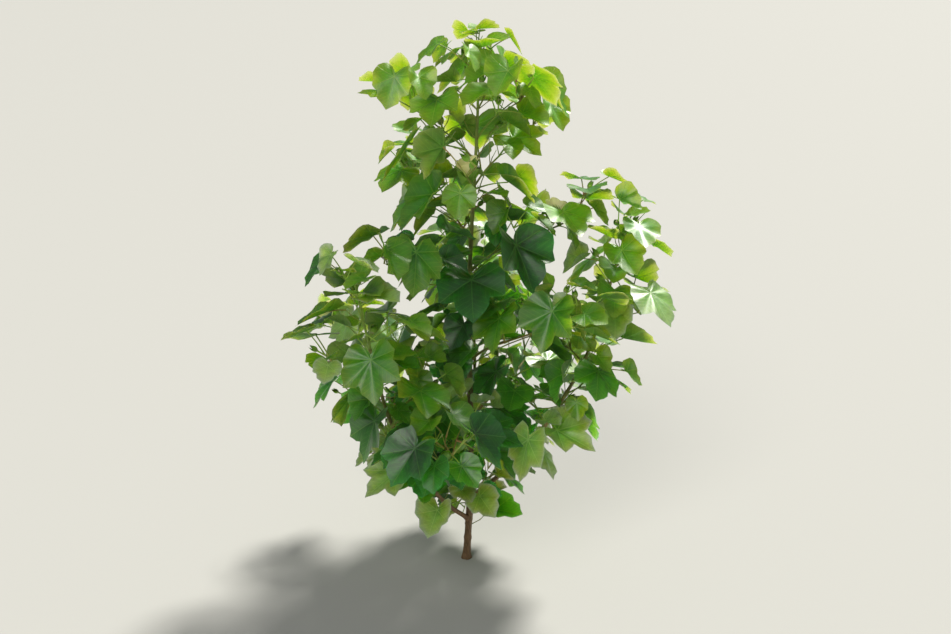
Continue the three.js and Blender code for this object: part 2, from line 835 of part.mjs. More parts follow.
for (const { name, path, radii } of boughs) {
  const body = limb(path, radii, BOUGH_SIDES).subtract(widened.main_stem);
  addNode(limbs, name, body, path[0], materials.branch);
  widened[name] = limb(path, radii.map((radius) => radius + JOINT_GAP), BOUGH_SIDES);
}

for (const { name, cut, twigs, leaves, fruits } of masses) {
  const pieces = twigs.map(({ path, radii }) => limb(path, radii, TWIG_SIDES));
  pieces.push(...leaves.map(blade), ...fruits.map(fruitBody));
  if (pieces.length === 0) continue;
  let body = wasm.Manifold.union(pieces);
  if (cut) body = body.subtract(widened[cut]);
  const parts = body.simplify(SLIVER).decompose().sort((a, b) => b.volume() - a.volume());
  addNode(foliage, name, parts[0], twigs[0].path[0], materials.leaves);
}

export default plant;
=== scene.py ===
# A cotton plant in flower, dressed for the eye, in metres with +Z up.
# The limbs, leaves and fruit are grown by the same seeded rule as the solids, and the rule
# is then carried on to finer shoots. Leaves, bracts, petals and bolls are shapes set on
# points, and stalks are drawn along lines, both by Geometry Nodes.
import math

import bpy
import numpy as np
from mathutils import Matrix, Vector


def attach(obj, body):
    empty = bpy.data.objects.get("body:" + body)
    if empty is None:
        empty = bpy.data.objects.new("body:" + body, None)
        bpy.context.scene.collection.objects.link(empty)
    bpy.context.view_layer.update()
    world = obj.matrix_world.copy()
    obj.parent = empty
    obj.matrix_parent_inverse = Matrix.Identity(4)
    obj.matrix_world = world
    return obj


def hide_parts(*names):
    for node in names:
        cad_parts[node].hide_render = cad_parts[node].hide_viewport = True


# Main stem
STEM_HEIGHT = 0.985
FOOT_RADIUS = 0.0078
STEM_END_RADIUS = 0.0027
FLARE = 0.0045
FLARE_HEIGHT = 0.014
STEM_LEAN = 0.02
STEM_SWAY = 0.005
SWAY_LENGTH = 0.130
STEM_RINGS = 20
RING_CROWDING = 0.4

# Crown: half an egg above its widest height and half of another below
CROWN_RADIUS = 0.445
CROWN_WIDEST = 0.480
CROWN_TOP = 1.160
CROWN_FOOT = -0.240
LOWEST_LEAF = 0.060

# The gap in the leaves in front of the upper stem
GAP_HALF_WIDTH = 0.034
GAP_BOTTOM = 0.835
GAP_TOP = 0.970
GAP_SLOPE = 0.2

# Growth of the main stem
STEM_NODES = 17
FIRST_NODE = 0.052
LONGEST_INTERNODE = 0.067
INTERNODE_PHASE = (0.2, 0.82)
TURN = 135
FIRST_TURN = 90
SIDE_BRANCHES = 3
FIRST_FRUITING = 3
FIRST_WITHOUT_BOUGH = 11

# Days since a place on the plant flowered
FLOWERING_NODE = 12
DAYS_PER_NODE = 3
DAYS_PER_PLACE = 6
BOLL_DAYS = 24
BUD_DAYS = 28
FLOWER_DAYS = 2
CANDLE_DAYS = 4

# Sizes of what grows on the twigs
LEAF_LENGTH = 0.090
PETIOLE_RADIUS = 0.0017
THINNEST_PETIOLE = 0.0009
FRUIT_STALK = 0.016
FRUIT_STALK_RADIUS = 0.0016
JOINT_GAP = 0.0003

# Room kept around what has been placed
LEAF_ROOM = 0.005
TWIG_ROOM = 0.003
ROOT_LENGTH = 0.015
SAMPLE_STEP = 0.006
NEAR_LEAF = (1.1, 0.015)  # share of a leaf's length, and beyond, in which twigs are tested
JOINED_SAMPLES = 3  # last samples of a leaf's own stalk, which its blade may touch
TRIES = 60
SEED = 46
SEEDS = {"branch": 1000, "stem_leaves": 2000, "side": 3000, "tip": 5000, "finer": 20000}
SEEDS_PER_NODE = 50
SEEDS_PER_SIDE = 500

# A fruiting branch, as (on the lowest node, on the highest node)
BRANCH = {
    "elevation": (22, 44),
    "bough": (0.136, 0.076),
    "radius": (0.0032, 0.0021),
    "places": (4.4, 2.2),
    "internode": (0.092, 0.056),
    "leaf": (0.98, 0.78),
    "stalk": (0.086, 0.054),
}
BOUGH_BOW = (9, 2, -5)
BOUGH_TAPER = 0.85
BRANCH_CHANCE = {"azimuth": 8, "elevation": 4, "length": (0.92, 1.06)}
LEAD_RADII = 2.5
SETTLE = 4
SHORTENING = 0.76
ZIGZAG = 19
TWIG_TAPER = 0.55
SWING = 4
LEAF_SIDE = 64
FRUIT_SIDE = 50

# The leaf at each place of a twig, as (at the last place, at the first), and the smaller
# leaf at the twig's end
PLACE_LEAF = {"rise": 20, "stalk": (0.7, 1), "length": (0.74, 1)}
END_LEAF = {"rise": 14, "stalk": 0.55, "length": 0.62, "pitch": (-45, 14)}

# What is added to a twig's seed for its own heading, its end leaf and its fruit
OWN_SEED = {"heading": 20, "end_leaf": 9, "fruit": 10, "shoot_fruit": 20}

# The two leaves under each fruiting branch, on the main stem
STEM_LEAVES = (
    {"side": 32, "length": (1.18, 0.92), "stalk": (0.150, 0.092)},
    {"side": -58, "length": (0.74, 0.6), "stalk": (0.096, 0.060)},
)
STEM_LEAF_ELEVATION = (30, 46)
STEM_LEAF_DROP = 0.010

# A side branch, its sprays and its leafy top
SIDE = {"steps": 7, "step": 0.080, "radius": 0.005, "end": 0.0029, "foot": 42, "top": 76, "weave": 6}
SPRAY = {
    "first": 2,
    "side": 84,
    "swing": 12,
    "elevation": 36,
    "lead": 0.040,
    "internode": 0.058,
    "radius": 0.0021,
    "leaf": 0.94,
    "stalk": 0.076,
    "places": 2,
    "days_per_step": 4,
}
SPRAY_DIP = 10

# How the leaves and buds of an upright shoot change from its first node to its last
SHOOT = {
    "internodes": 4,
    "lead": 0.015,
    "elevation": (38, 68),
    "stalk": (0.082, 0.026),
    "leaf": (0.9, 0.4),
    "low": (-44, 5),
    "high": (-2, 50),
    "days": (-12, -28),
    "fruit_turn": 75,
}
SIDE_TOP = {"rise": 76, "step": (0.041, 0.020), "weave": 10}
TIP = {"rise": 82, "step": (0.034, 0.020)}

# Chance in a leaf's direction, in degrees to each side, and in its size and shape
CHANCE = {"azimuth": 20, "elevation": 10, "facing": 28, "roll": 26}
LEAF_SPREAD = 10
STALK_SHARE = (0.75, 1.2)
LENGTH_SHARE = (0.9, 1.08)
HANGING = (-56, -6)
CUP = (-0.12, 0.38)
DROOP = (0.02, 0.26)
WAVE = (0.03, 0.09)
PETIOLE_TAPER = (1.2, 0.9)

# One half of a leaf's outline as the solids have it: degrees from the midrib, radius as a
# share of the middle lobe, and how far the rim's wave lifts it
HALF_OUTLINE = (
    (0, 1.0, -1),
    (27, 0.75, 1),
    (50, 0.88, -1),
    (82, 0.69, 0.9),
    (126, 0.62, 0.3),
    (180, 0.13, 0),
)
LOBE_TURN = 50  # degrees between the main veins

# Bud, flower and boll: radius and height from the stalk's end, how steeply it stands, its
# size as (on its first day, on its last), and the share that has dropped
FORMS = {
    "bud": {"profile": ((0.010, 0.007), (0, 0.028)), "rise": 46, "size": (0.6, 1), "shed": 0.25},
    "flower": {
        "profile": ((0.010, 0.006), (0.025, 0.046), (0, 0.030)),
        "rise": 62,
        "size": (1, 1),
        "shed": 0,
    },
    "boll": {
        "profile": ((0.014, 0.006), (0.0135, 0.022), (0, 0.037)),
        "rise": 28,
        "size": (0.5, 1),
        "shed": 0.45,
    },
}
FRUIT_CHANCE = {"azimuth": 24, "rise": 14}
FRUIT_SPREAD = 5

UP = np.array((0.0, 0.0, 1.0))


def mix(low, high, share):
    return low + (high - low) * share


def along(limits, share):
    return mix(limits[0], limits[1], share)


# Seeded numbers between two limits, one stream for each place on the plant
MODULUS = 2147483647
MULTIPLIER = 16807
SITE_STEP = 1000003
SEED_STEP = 7919


def stream(site):
    state = (site * SITE_STEP + SEED * SEED_STEP) % MODULUS

    def draw(low, high):
        nonlocal state
        state = state * MULTIPLIER % MODULUS
        return mix(low, high, state / MODULUS)

    draw(0, 1)
    draw(0, 1)
    return draw


def heading(azimuth, elevation):
    way, rise = math.radians(azimuth), math.radians(elevation)
    flat = math.cos(rise)
    return np.array((flat * math.cos(way), flat * math.sin(way), math.sin(rise)))


def moved(point, azimuth, elevation, distance):
    return point + heading(azimuth, elevation) * distance


# The main stem's line, its size at a height and the heights of its nodes


def stem_point(z):
    x = STEM_LEAN * z + STEM_SWAY * math.sin(z / SWAY_LENGTH)
    y = -STEM_SWAY * math.sin(z / (0.7 * SWAY_LENGTH))
    return np.array((x, y, z))


def stem_radius(z):
    return mix(FOOT_RADIUS, STEM_END_RADIUS, z / STEM_HEIGHT) + FLARE * math.exp(-z / FLARE_HEIGHT)


def stem_path():
    """Points up the stem, closer together towards its foot."""
    shares = [ring / STEM_RINGS for ring in range(STEM_RINGS + 1)]
    return [stem_point(STEM_HEIGHT * mix(share, share * share, RING_CROWDING)) for share in shares]


def node_heights():
    heights = [FIRST_NODE]
    for node in range(1, STEM_NODES):
        phase = math.pi * along(INTERNODE_PHASE, node / (STEM_NODES - 1))
        heights.append(heights[-1] + LONGEST_INTERNODE * math.sin(phase))
    return heights


NODE_HEIGHTS = node_heights()


def node_azimuth(node):
    return FIRST_TURN + node * TURN


def rank(node):
    """How far up the fruiting part of the stem a node is, from 0 to 1."""
    return (node - FIRST_FRUITING) / (STEM_NODES - 1 - FIRST_FRUITING)


# The blade as the solids have it: a fan of flat faces from its joint to its corners


def corner_table():
    right = [(-turn, *rest) for turn, *rest in HALF_OUTLINE[1:-1]]
    corners = right[::-1] + list(HALF_OUTLINE)
    turns = np.array([corner[0] for corner in corners], float)
    shares = np.array([corner[1] for corner in corners])
    flat = np.stack((shares * np.cos(np.radians(turns)), shares * np.sin(np.radians(turns))), 1)
    return turns, flat, np.array([corner[2] for corner in corners], float)


CORNER_TURNS, CORNER_FLAT, CORNER_LIFT = corner_table()
SAMPLE_SHARES = (0.3, 0.55, 0.8, 1.0)
BLADE_SAMPLES = 1 + len(SAMPLE_SHARES) * 2 * len(CORNER_TURNS)


def corner_heights(cup, droop, wave):
    sideways = np.sin(np.radians(CORNER_TURNS)) ** 2
    forward = np.maximum(0, np.cos(np.radians(CORNER_TURNS)))
    return cup * sideways - droop * forward + wave * CORNER_LIFT


def blade_samples(leaf):
    """Points over a blade: its joint, and rays to the rim's corners and between them."""
    flat = np.column_stack((CORNER_FLAT, leaf["heights"])) * leaf["length"]
    rim = leaf["joint"] + flat @ leaf["frame"]
    ends = np.vstack((rim, (rim + np.roll(rim, -1, axis=0)) / 2))
    rays = [leaf["joint"] + (ends - leaf["joint"]) * share for share in SAMPLE_SHARES]
    return np.vstack([leaf["joint"][None], *rays])


def over_blades(joints, frames, lengths, heights, points, margins):
    """How far each point is above or below its blade, or infinity where it is beside it."""
    away = (points - joints) / lengths[:, None]
    x, y, z = np.einsum("nij,nj->in", frames, away)
    last = np.searchsorted(CORNER_TURNS, np.degrees(np.arctan2(y, x)))
    last = np.minimum(last, len(CORNER_TURNS) - 1)
    ax, ay = CORNER_FLAT[last - 1].T
    bx, by = CORNER_FLAT[last].T
    area = ax * by - ay * bx
    share_a = (x * by - y * bx) / area
    share_b = (ax * y - ay * x) / area
    out = share_a + share_b
    edge = area / np.hypot(ax - bx, ay - by)
    rows = np.arange(len(x))
    height = share_a * heights[rows, last - 1] + share_b * heights[rows, last]
    height /= np.maximum(1, out)
    beside = (out - 1) * edge > margins / lengths
    return np.where(beside, np.inf, np.abs(z - height) * lengths)


def meets(blades, points, room):
    """Whether any of the points is closer to any of the blades than its room allows."""
    count, each = len(blades["length"]), len(points)
    if not count or not each:
        return False
    rooms = np.tile(np.broadcast_to(room, each), count)
    heights = over_blades(
        np.repeat(blades["joint"], each, axis=0),
        np.repeat(blades["frame"], each, axis=0),
        np.repeat(blades["length"], each),
        np.repeat(blades["heights"], each, axis=0),
        np.tile(points, (count, 1)),
        rooms,
    )
    return bool((heights < rooms).any())


def twig_samples(path, radii):
    """Points along a twig, each with the twig's radius there."""
    points, sizes = [], []
    for i in range(1, len(path)):
        step = path[i] - path[i - 1]
        count = max(1, math.ceil(np.linalg.norm(step) / SAMPLE_STEP))
        for k in range(count):
            share = (k + 0.5) / count
            points.append(path[i - 1] + step * share)
            sizes.append(mix(radii[i - 1], radii[i], share))
    return np.array(points), np.array(sizes)


def in_crown(points):
    above = points[:, 2] > CROWN_WIDEST
    half = np.where(above, CROWN_TOP - CROWN_WIDEST, CROWN_WIDEST - CROWN_FOOT)
    out = (points[:, 2] - CROWN_WIDEST) / half
    width = CROWN_RADIUS * np.sqrt(np.maximum(0, 1 - out * out))
    inside = (out < 1) & (points[:, 2] >= LOWEST_LEAF)
    return inside & (np.hypot(points[:, 0], points[:, 1]) < width)


def in_gap(points):
    x, y, z = points.T
    middle = STEM_LEAN * z + STEM_SWAY * np.sin(z / SWAY_LENGTH)
    level = z + GAP_SLOPE * y
    before = (np.abs(x - middle) < GAP_HALF_WIDTH) & (y < -FOOT_RADIUS)
    return before & (level > GAP_BOTTOM) & (level < GAP_TOP)


class Placed:
    """What has been placed so far, and whether something new is clear of it."""

    def __init__(self):
        self.points = np.empty((0, 3))
        self.radii = np.empty(0)
        self.blades = {
            "joint": np.empty((0, 3)),
            "frame": np.empty((0, 3, 3)),
            "length": np.empty(0),
            "heights": np.empty((0, len(CORNER_TURNS))),
            "points": np.empty((0, BLADE_SAMPLES, 3)),
        }

    def occupy(self, samples):
        self.points = np.vstack((self.points, samples[0]))
        self.radii = np.concatenate((self.radii, samples[1]))

    def add_leaf(self, leaf):
        for key, column in self.blades.items():
            self.blades[key] = np.concatenate((column, np.asarray(leaf[key])[None]))

    def near(self, point, reach):
        """The blades whose own length and the reach together span the way to a point."""
        away = np.linalg.norm(self.blades["joint"] - point, axis=1)
        chosen = away <= self.blades["length"] + reach
        return {key: column[chosen] for key, column in self.blades.items()}

    def twig_is_clear(self, samples, root, twig_room=TWIG_ROOM):
        points, radii = samples
        away = np.linalg.norm(points - root, axis=1)
        reach = away.max() + LEAF_LENGTH
        if meets(self.near(root, reach), points, TWIG_ROOM + radii):
            return False
        beyond = away > ROOT_LENGTH
        if not beyond.any():
            return True
        close = np.linalg.norm(self.points - root, axis=1) < reach
        apart = np.linalg.norm(points[beyond][:, None] - self.points[close][None], axis=2)
        needed = twig_room + radii[beyond][:, None] + self.radii[close][None]
        return bool((apart > needed).all())

    def leaf_is_clear(self, leaf, stalk, leaf_room=LEAF_ROOM):
        points = leaf["points"]
        if not in_crown(points).all() or in_gap(points).any():
            return False
        others = self.near(leaf["joint"], leaf["length"])
        if meets(others, points, leaf_room):
            return False
        alone = {key: np.asarray(leaf[key])[None] for key in self.blades}
        if meets(alone, others["points"].reshape(-1, 3), leaf_room):
            return False
        reach = NEAR_LEAF[0] * leaf["length"] + NEAR_LEAF[1]
        close = np.linalg.norm(self.points - leaf["joint"], axis=1) < reach
        if meets(alone, self.points[close], TWIG_ROOM + self.radii[close]):
            return False
        apart = slice(None, -JOINED_SAMPLES)
        return not meets(alone, stalk[0][apart], TWIG_ROOM + stalk[1][apart])


# The plant as it grows: limbs first, then fruit, then leaves


class Plant:
    def __init__(self):
        self.placed = Placed()
        self.boughs = {}
        self.masses = {}
        self.finer = []
        self.leaf_sites = []
        self.fruit_sites = []

    def add_mass(self, name):
        self.masses[name] = {"name": name, "twigs": [], "stalks": [], "leaves": [], "fruits": []}
        return self.masses[name]

    def add_bough(self, name, path, radii):
        self.boughs[name] = (path, radii)
        self.placed.occupy(twig_samples(path, radii))


def taper(path, start, end):
    return [mix(start, end, i / (len(path) - 1)) for i in range(len(path))]


def zigzag_path(plant, plan, draw):
    """A zigzag twig. Tries other headings where the first would touch a limb."""
    for attempt in range(TRIES):
        swing = attempt * SWING
        azimuth = plan["azimuth"] + draw(-swing, swing)
        path = list(plan["lead"])
        side = plan["handed"]
        internode = plan["internode"]
        for place in range(1, plan["places"]):
            elevation = plan["elevation"] - SETTLE * place
            path.append(moved(path[-1], azimuth + side * ZIGZAG, elevation, internode))
            side = -side
            internode *= SHORTENING
        radii = taper(path, plan["radius"], plan["radius"] * TWIG_TAPER)
        samples = twig_samples(path, radii)
        if plant.placed.twig_is_clear(samples, path[0]):
            return path, radii, samples, azimuth
    return None


def grow_twig(plant, mass, plan, seed):
    made = zigzag_path(plant, plan, stream(seed + OWN_SEED["heading"]))
    if not made:
        return
    path, radii, samples, azimuth = made
    plant.placed.occupy(samples)
    mass["twigs"].append((path, radii))
    first = len(plan["lead"]) - 1
    side = -plan["handed"]
    for place in range(plan["places"]):
        share = 1 - place / (plan["places"] + 1)
        plant.leaf_sites.append({
            "mass": mass,
            "from": path[first + place],
            "seed": seed + place,
            "azimuth": azimuth + side * LEAF_SIDE,
            "elevation": plan["elevation"] + PLACE_LEAF["rise"],
            "stalk": plan["stalk"] * along(PLACE_LEAF["stalk"], share),
            "length": plan["leaf"] * along(PLACE_LEAF["length"], share),
            "pitch": HANGING,
        })
        plant.fruit_sites.append({
            "mass": mass,
            "from": path[first + place],
            "seed": seed + OWN_SEED["fruit"] + place,
            "azimuth": azimuth - side * FRUIT_SIDE,
            "days": plan["days"] - DAYS_PER_PLACE * place,
        })
        side = -side
    plant.leaf_sites.append({
        "mass": mass,
        "from": path[-1],
        "seed": seed + OWN_SEED["end_leaf"],
        "azimuth": azimuth,
        "elevation": plan["elevation"] + END_LEAF["rise"],
        "stalk": plan["stalk"] * END_LEAF["stalk"],
        "length": plan["leaf"] * END_LEAF["length"],
        "pitch": END_LEAF["pitch"],
    })


def fruiting_branch(plant, node):
    seed = SEEDS["branch"] + node * SEEDS_PER_NODE
    draw = stream(seed)
    up = rank(node)
    turned, tilted = BRANCH_CHANCE["azimuth"], BRANCH_CHANCE["elevation"]
    azimuth = node_azimuth(node) + draw(-turned, turned)
    elevation = along(BRANCH["elevation"], up) + draw(-tilted, tilted)
    third = along(BRANCH["bough"], up) * draw(*BRANCH_CHANCE["length"]) / len(BOUGH_BOW)
    path = [stem_point(NODE_HEIGHTS[node])]
    for bow in BOUGH_BOW:
        path.append(moved(path[-1], azimuth, elevation + bow, third))
    plan = {
        "lead": path,
        "azimuth": azimuth,
        "elevation": elevation - SETTLE,
        "handed": 1 if node % 2 else -1,
        "places": math.floor(along(BRANCH["places"], up) + 0.5),
        "internode": along(BRANCH["internode"], up),
        "radius": along(BRANCH["radius"], up),
        "leaf": LEAF_LENGTH * along(BRANCH["leaf"], up),
        "stalk": along(BRANCH["stalk"], up),
        "days": DAYS_PER_NODE * (FLOWERING_NODE - node),
    }
    if node >= FIRST_WITHOUT_BOUGH:
        mass = plant.add_mass(f"branch_leaves_{node:02d}")
        grow_twig(plant, mass, plan, seed)
        stem_leaves(plant, node, mass, path[1])
        return
    tip_radius = plan["radius"] * BOUGH_TAPER
    radii = taper(path, plan["radius"], tip_radius)
    plant.add_bough(f"fruiting_branch_{node:02d}", path, radii)
    way = (azimuth, elevation + BOUGH_BOW[-1])
    start = moved(path[-1], *way, JOINT_GAP)
    plan["lead"] = [start, moved(start, *way, LEAD_RADII * plan["radius"])]
    plan["radius"] = tip_radius
    grow_twig(plant, plant.add_mass(f"branch_leaves_{node:02d}"), plan, seed)
    leaves = plant.add_mass(f"stem_leaf_{node:02d}")
    stem_leaves(plant, node, leaves, stem_point(NODE_HEIGHTS[node] - STEM_LEAF_DROP))


def stem_leaves(plant, node, mass, start):
    up = rank(node)
    hand = 1 if node % 2 else -1
    for i, form in enumerate(STEM_LEAVES):
        plant.leaf_sites.append({
            "mass": mass,
            "from": start,
            "seed": SEEDS["stem_leaves"] + node * SEEDS_PER_NODE + i,
            "azimuth": node_azimuth(node) + hand * form["side"],
            "elevation": along(STEM_LEAF_ELEVATION, up),
            "stalk": along(form["stalk"], up),
            "length": LEAF_LENGTH * along(form["length"], up),
            "pitch": HANGING,
        })


def side_branch(plant, number):
    seed = SEEDS["side"] + number * SEEDS_PER_SIDE
    turned = BRANCH_CHANCE["azimuth"]
    azimuth = node_azimuth(number) + stream(seed)(-turned, turned)
    path = [stem_point(NODE_HEIGHTS[number])]
    for step in range(SIDE["steps"]):
        elevation = mix(SIDE["foot"], SIDE["top"], step / (SIDE["steps"] - 1))
        weave = SIDE["weave"] if step % 2 else -SIDE["weave"]
        path.append(moved(path[-1], azimuth + weave, elevation, SIDE["step"]))
    plant.add_bough(f"side_branch_{number + 1}", path, taper(path, SIDE["radius"], SIDE["end"]))
    return {"path": path, "number": number, "azimuth": azimuth, "seed": seed}


def side_spray(plant, side, step):
    hand = 1 if step % 2 else -1
    turn = side["azimuth"] + hand * SPRAY["side"] + SPRAY["swing"] * step
    base = side["path"][step]
    mass = plant.add_mass(f"side_leaves_{side['number'] + 1}_{step + 1 - SPRAY['first']}")
    plan = {
        "lead": [base, moved(base, turn, SPRAY["elevation"], SPRAY["lead"])],
        "azimuth": turn,
        "elevation": SPRAY["elevation"] - SPRAY_DIP,
        "handed": hand,
        "places": SPRAY["places"],
        "internode": SPRAY["internode"],
        "radius": SPRAY["radius"],
        "leaf": LEAF_LENGTH * SPRAY["leaf"],
        "stalk": SPRAY["stalk"],
        "days": -SPRAY["days_per_step"] * step,
    }
    grow_twig(plant, mass, plan, side["seed"] + step * SEEDS_PER_NODE)


def shoot_path(start, form, azimuth_at):
    path = [start, moved(start, azimuth_at(0), form["rise"], SHOOT["lead"])]
    for i in range(1, SHOOT["internodes"] + 1):
        internode = along(form["step"], (i - 1) / (SHOOT["internodes"] - 1))
        path.append(moved(path[-1], azimuth_at(i), form["rise"], internode))
    return path


def grow_shoot(plant, mass, path, radius, first_turn, seed):
    radii = taper(path, radius, radius * TWIG_TAPER)
    plant.placed.occupy(twig_samples(path, radii))
    mass["twigs"].append((path, radii))
    last = len(path) - 1
    for step in range(1, last + 1):
        share = (step - 1) / (last - 1)
        azimuth = first_turn + step * TURN
        plant.leaf_sites.append({
            "mass": mass,
            "from": path[step],
            "seed": seed + step,
            "azimuth": azimuth,
            "elevation": along(SHOOT["elevation"], share),
            "stalk": along(SHOOT["stalk"], share),
            "length": LEAF_LENGTH * along(SHOOT["leaf"], share),
            "pitch": (along(SHOOT["low"], share), along(SHOOT["high"], share)),
        })
        plant.fruit_sites.append({
            "mass": mass,
            "from": path[step],
            "seed": seed + OWN_SEED["shoot_fruit"] + step,
            "azimuth": azimuth + SHOOT["fruit_turn"],
            "days": along(SHOOT["days"], share),
        })


def side_top(plant, side):
    mass = plant.add_mass(f"side_leaves_{side['number'] + 1}_top")
    azimuth = side["azimuth"]
    start = moved(side["path"][-1], azimuth, SIDE["top"], JOINT_GAP)
    weave = lambda i: azimuth + (-SIDE_TOP["weave"] if i % 2 else SIDE_TOP["weave"])
    path = shoot_path(start, SIDE_TOP, weave)
    seed = side["seed"] + SIDE["steps"] * SEEDS_PER_NODE
    grow_shoot(plant, mass, path, SIDE["end"], azimuth, seed)


def growing_tip(plant):
    mass = plant.add_mass("growing_tip")
    start = stem_point(STEM_HEIGHT) + UP * JOINT_GAP
    path = shoot_path(start, TIP, node_azimuth)
    grow_shoot(plant, mass, path, STEM_END_RADIUS, node_azimuth(STEM_NODES), SEEDS["tip"])


def leaf_frame(ahead, roll):
    side = np.cross(UP, ahead)
    side /= np.linalg.norm(side)
    up = np.cross(ahead, side)
    side = side * math.cos(roll) + up * math.sin(roll)
    return np.array((ahead, side, np.cross(ahead, side)))


def grow_leaf(plant, site, tries=TRIES, leaf_room=LEAF_ROOM, twig_room=TWIG_ROOM):
    """A leaf on its stalk. Tries again, further aside, where the first would touch."""
    draw = stream(site["seed"])
    for attempt in range(tries):
        spread = 1 + attempt / LEAF_SPREAD
        way = site["azimuth"] + draw(-CHANCE["azimuth"], CHANCE["azimuth"]) * spread
        rise = site["elevation"] + draw(-CHANCE["elevation"], CHANCE["elevation"]) * spread
        joint = moved(site["from"], way, rise, site["stalk"] * draw(*STALK_SHARE))
        facing = way + draw(-CHANCE["facing"], CHANCE["facing"])
        ahead = heading(facing, draw(*site["pitch"]))
        roll = math.radians(draw(-CHANCE["roll"], CHANCE["roll"]))
        length = site["length"] * draw(*LENGTH_SHARE)
        cup, droop, wave = (draw(*limits) for limits in site.get("form", (CUP, DROOP, WAVE)))
        leaf = {
            "joint": joint,
            "frame": leaf_frame(ahead, roll),
            "length": length,
            "shape": (cup, droop, wave),
            "heights": corner_heights(cup, droop, wave),
        }
        grown = min(1, site["length"] / LEAF_LENGTH)
        radius = mix(THINNEST_PETIOLE, PETIOLE_RADIUS, grown)
        path = [site["from"], joint]
        radii = [radius * share for share in PETIOLE_TAPER]
        samples = twig_samples(path, radii)
        if not plant.placed.twig_is_clear(samples, site["from"], twig_room):
            continue
        leaf["points"] = blade_samples(leaf)
        if not plant.placed.leaf_is_clear(leaf, samples, leaf_room):
            continue
        plant.placed.occupy(samples)
        plant.placed.add_leaf(leaf)
        site["mass"]["stalks"].append((path, radii))
        site["mass"]["leaves"].append(leaf)
        return


def fruit_profile(kind, size):
    stalk = [(0, 0), (FRUIT_STALK_RADIUS, 0), (FRUIT_STALK_RADIUS, FRUIT_STALK)]
    body = FORMS[kind]["profile"]
    return stalk + [(radius * size, FRUIT_STALK + height * size) for radius, height in body]


def fruit_at(days):
    """What a place bears by its days: its kind, and how far that has grown, from 0 to 1."""
    if abs(days) < FLOWER_DAYS:
        return "flower", 1
    if days < 0:
        return "bud", max(0, 1 + days / BUD_DAYS)
    return "boll", min(1, days / BOLL_DAYS)


def grow_fruit(plant, site):
    draw = stream(site["seed"])
    kind, grown = fruit_at(site["days"])
    form = FORMS[kind]
    size = along(form["size"], grown)
    if draw(0, 1) < form["shed"]:
        return
    for attempt in range(TRIES):
        spread = 1 + attempt / FRUIT_SPREAD
        aside, tilt = FRUIT_CHANCE["azimuth"], FRUIT_CHANCE["rise"]
        way = site["azimuth"] + draw(-aside, aside) * spread
        axis = heading(way, form["rise"] + draw(-tilt, tilt))
        corners = fruit_profile(kind, size)
        path = [site["from"] + axis * height for radius, height in corners]
        samples = twig_samples(path, [radius for radius, height in corners])
        if not plant.placed.twig_is_clear(samples, site["from"]):
            continue
        plant.placed.occupy(samples)
        fruit = {"kind": kind, "size": size, "from": site["from"], "axis": axis}
        fruit["days"] = site["days"]
        fruit["spin"] = draw(0, 360)
        site["mass"]["fruits"].append(fruit)
        return


def grow_plant():
    plant = Plant()
    path = stem_path()
    plant.placed.occupy(twig_samples(path, [stem_radius(point[2]) for point in path]))
    sides = [side_branch(plant, number) for number in range(SIDE_BRANCHES)]
    for node in range(FIRST_FRUITING, STEM_NODES):
        fruiting_branch(plant, node)
    for side in sides:
        for step in range(SPRAY["first"], SIDE["steps"]):
            side_spray(plant, side, step)
        side_top(plant, side)
    growing_tip(plant)
    for site in plant.fruit_sites:
        grow_fruit(plant, site)
    for site in plant.leaf_sites:
        grow_leaf(plant, site)
    return plant


# Finer growth: a short shoot with small leaves and now and then a bud, to both sides of
# every joint of a twig, along every bough, and behind each node of the upper stem
FINER = {
    "tries": 24,
    "leaf_tries": 44,
    "spacing": 0.030,
    "aside": 80,
    "length": (0.028, 0.066),
    "elevation": (10, 66),
    "azimuth": 70,
    "bend": 24,
    "rise": 12,
    "radius": 0.0011,
    "leaves": 4,
    "fan": 85,
    "leaf_rise": (14, 62),
    "stalk": (0.020, 0.062),
    "leaf": (0.40, 0.74),
    "pitch": (-54, 14),
    "form": ((0.02, 0.55), (-0.12, 0.30), WAVE),
    "buds": 0.35,
    "bud_days": (-27, -14),
    "leaf_room": 0.007,
    "twig_room": 0.0012,
}

# How far an open flower's middle is from its stalk's foot, and the radius of each of the
# balls of room that lead outward from it
FLOWER_MIDDLE = 0.040
FLOWER_ROOM = 0.030


